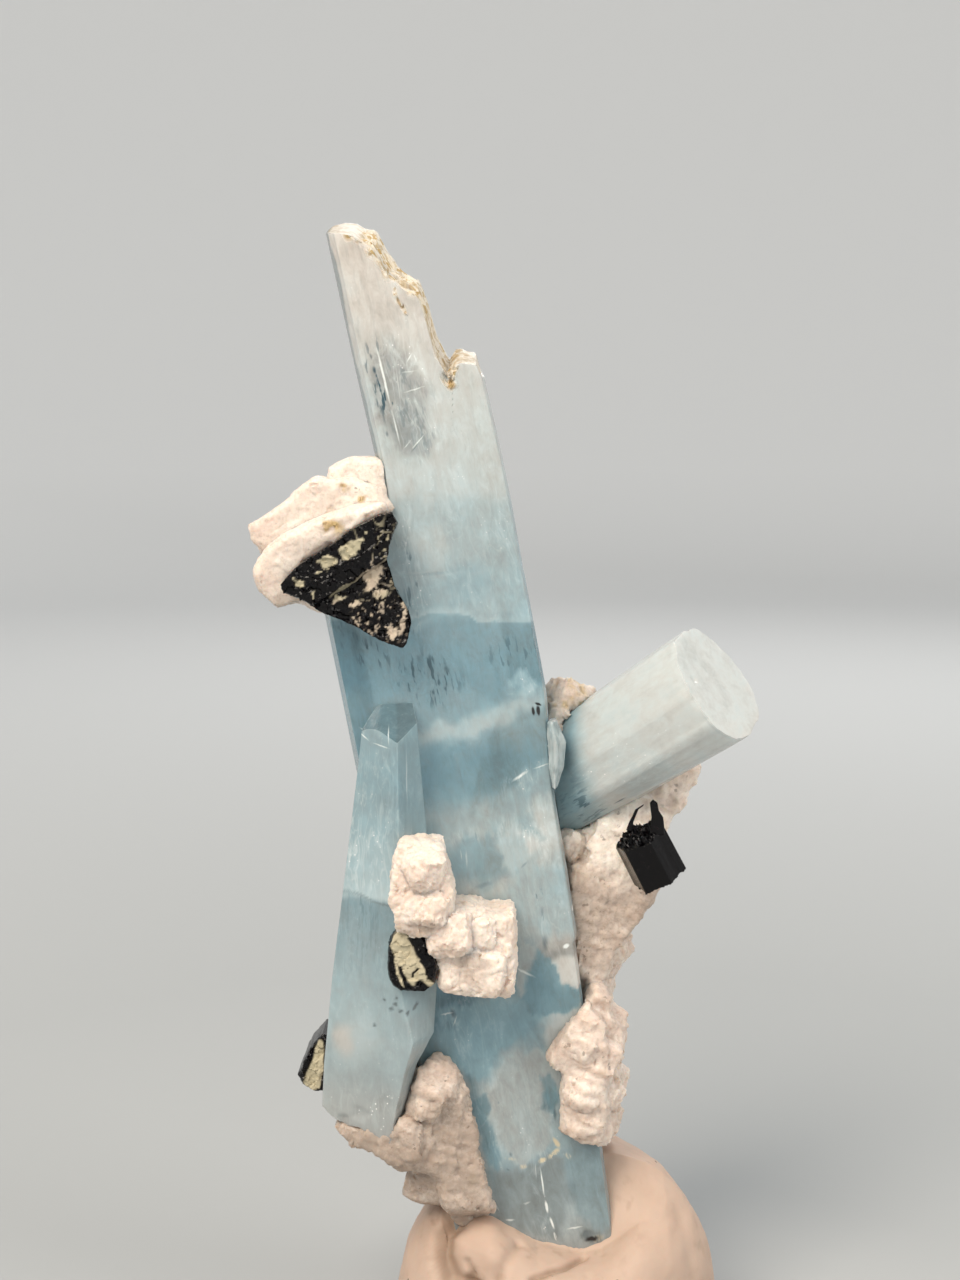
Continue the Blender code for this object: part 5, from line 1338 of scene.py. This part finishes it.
turn = np.linspace(0.0, math.tau, 301)[None, :-1]
climb = climbs * math.pi / 2.0
spread = np.cos(climb) ** 0.42
knead = 1.0 + 0.03 * np.sin(2.0 * turn + 0.6) + 0.022 * np.sin(5.0 * turn + 1.3 + 2.0 * climbs)
dent = 0.07 * np.exp(-(((turn - 4.05) / 0.22) ** 2)) * np.sin(math.pi * np.minimum(1.0, climbs * 1.6))
knead = knead - dent
foot = 1.0 - 0.1 * (1.0 - np.minimum(1.0, climbs * 5.0)) ** 2
x = np.cos(turn) * PUTTY_HALF[0] * spread * knead * foot
y = np.sin(turn) * PUTTY_HALF[1] * spread * knead * foot
lip = np.clip((-y - 1.0) / 6.0, 0.0, 1.0)
behind, before = (np.interp(x, PUTTY_CROWN[:, 0], PUTTY_CROWN[:, k]) for k in (1, 2))
z = (behind + (before - behind) * lip) * np.sin(climb) ** 0.9
body = np.stack([x, y, z], -1)
out_way = np.cross(np.roll(body, -1, 1) - np.roll(body, 1, 1), np.gradient(body, axis=0))
out_way /= np.linalg.norm(out_way, axis=-1, keepdims=True) + 1e-9
# How far the skin moves out.  Along each fold it moves in by a bell curve of the distance from the fold's
# path; a fold of negative depth is a ridge.
press = 0.6 * cloud(body, 9.0, 801, 2) + 0.2 * cloud(body, 3.0, 803, 2) + 0.03 * cloud(body, 0.8, 805, 2)
FOLDS = (  # path across, deep and up, then half width and depth of each fold
    (((4.7, -8.6, 19.0), (1.7, -12.2, 18.8), (-0.5, -13.6, 18.9), (-3.2, -15.4, 18.3)), 0.55, 1.0),
    (((5.4, -12.6, 18.4), (1.6, -16.4, 16.6)), 2.6, -0.5),
    (((-5.1, -10.4, 21.7), (-6.9, -13.8, 20.7), (-8.3, -15.6, 18.5)), 0.8, 0.7),
    (((-14.9, -8.6, 24.2), (-16.6, -9.8, 22.8), (-16.7, -11.7, 20.1), (-15.6, -13.0, 17.6)), 1.7, 2.2),
    (((-13.0, -13.4, 20.2), (-12.1, -14.1, 18.6)), 0.5, 0.8),
    (((-12.6, -14.2, 17.2), (-11.6, -14.8, 16.8)), 1.0, 2.0),
    (((-9.8, -10.6, 23.4), (-8.8, -13.4, 21.2)), 2.3, -0.5),
    (((20.0, -5.0, 24.0), (23.0, -9.0, 15.0), (22.0, -10.0, 6.0)), 1.6, 0.4),
)
for path, width, depth in FOLDS:
    press -= depth * np.exp(-((near_path(body, path) / width) ** 2))
body = body + out_way * (press * smooth(0.0, 2.0, body[..., 2]))[..., None]
body[..., 2] = np.maximum(body[..., 2], 0.0)
shrink = np.linspace(0.0, 1.0, 9)[:-1, None, None]
under = body[0] * shrink
under[..., 2] = 0.0
body[0, :, 2] = 0.0
grid = np.concatenate([under, body])
dust_and_dent_shade = smooth(0.15, 0.6, cloud(grid, 1.3, 811, 3)) * smooth(0.3, 0.8, 0.5 + 0.5 * cloud(grid, 6.0, 813, 2))
x, z = grid[..., 0], grid[..., 2]
# Painted shade: two patches darken the dent at the left.
dust_and_dent_shade += 0.8 * patch(x, z, (-18.0, 22.4), (3.0, 3.4), 0.0, 0.9)
dust_and_dent_shade += 0.5 * patch(x, z, (-16.8, 23.0), (2.6, 4.4), 20.0, 0.9)
# Painted shade: darker where the skin is pressed in, along the folds.
crease_shade = np.concatenate([np.zeros((8, body.shape[1])), smooth(0.2, 1.2, -press)])

putty, tree, out = finish_of("kneaded_putty")
# A wax-bound mineral putty: matt with a faint skin sheen, with fingered-in dust and dark specks, and
# painted shade in its folds and in a dent at the left.
coords = add(tree, "TexCoord").outputs["Object"]
# This attribute holds the dust and the painted shade in the dent.
dust = add(tree, "Attribute", {"attribute_name": "dust_and_dent_shade"}).outputs["Fac"]
crease_shade_mask = add(tree, "Attribute", {"attribute_name": "crease_shade_mask"}).outputs["Fac"]
mottle = add(
    tree, "TexNoise", {"Scale": 150.0, "Detail": 5.0, "Roughness": 0.55}, {"Vector": coords},
).outputs["Fac"]
prints = add(
    tree, "TexNoise", {"Scale": 1500.0, "Detail": 3.0, "Roughness": 0.6}, {"Vector": coords},
).outputs["Fac"]
fleck = add(tree, "TexVoronoi", {"Scale": 420.0, "feature": "F1"}, {"Vector": coords})
dust_and_crease_shade = sum_of(tree, product(tree, 0.6, dust, mottle), (crease_shade_mask, 0.5))
each_fleck = add(tree, "SeparateColor", {}, {"Color": fleck.outputs["Color"]}).outputs[0]
dots = product(tree, 1.0, (fleck.outputs["Distance"], 0.13, 0.09), (each_fleck, 0.86, 0.87))
fingered_and_shaded = layered(tree, "#C8B1A0", (mottle, "#B69A87"), (dust_and_crease_shade, "#8E745F"), (dots, "#4A4038"))
relief = add(tree, "Bump", {"Strength": 0.3, "Distance": 0.0001}, {"Height": prints})
waxy = add(
    tree, "BsdfPrincipled",
    {"Roughness": 0.62, "IOR": 1.48, "Subsurface Weight": 0.12, "Subsurface Scale": 0.002},
    {"Base Color": fingered_and_shaded, "Normal": relief.outputs[0]},
)
tree.links.new(waxy.outputs[0], out.inputs["Surface"])
putty_foot = skin("putty_foot", grid, {"dust_and_dent_shade": dust_and_dent_shade, "crease_shade_mask": crease_shade}, putty, 60.0)
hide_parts("mounting_putty")
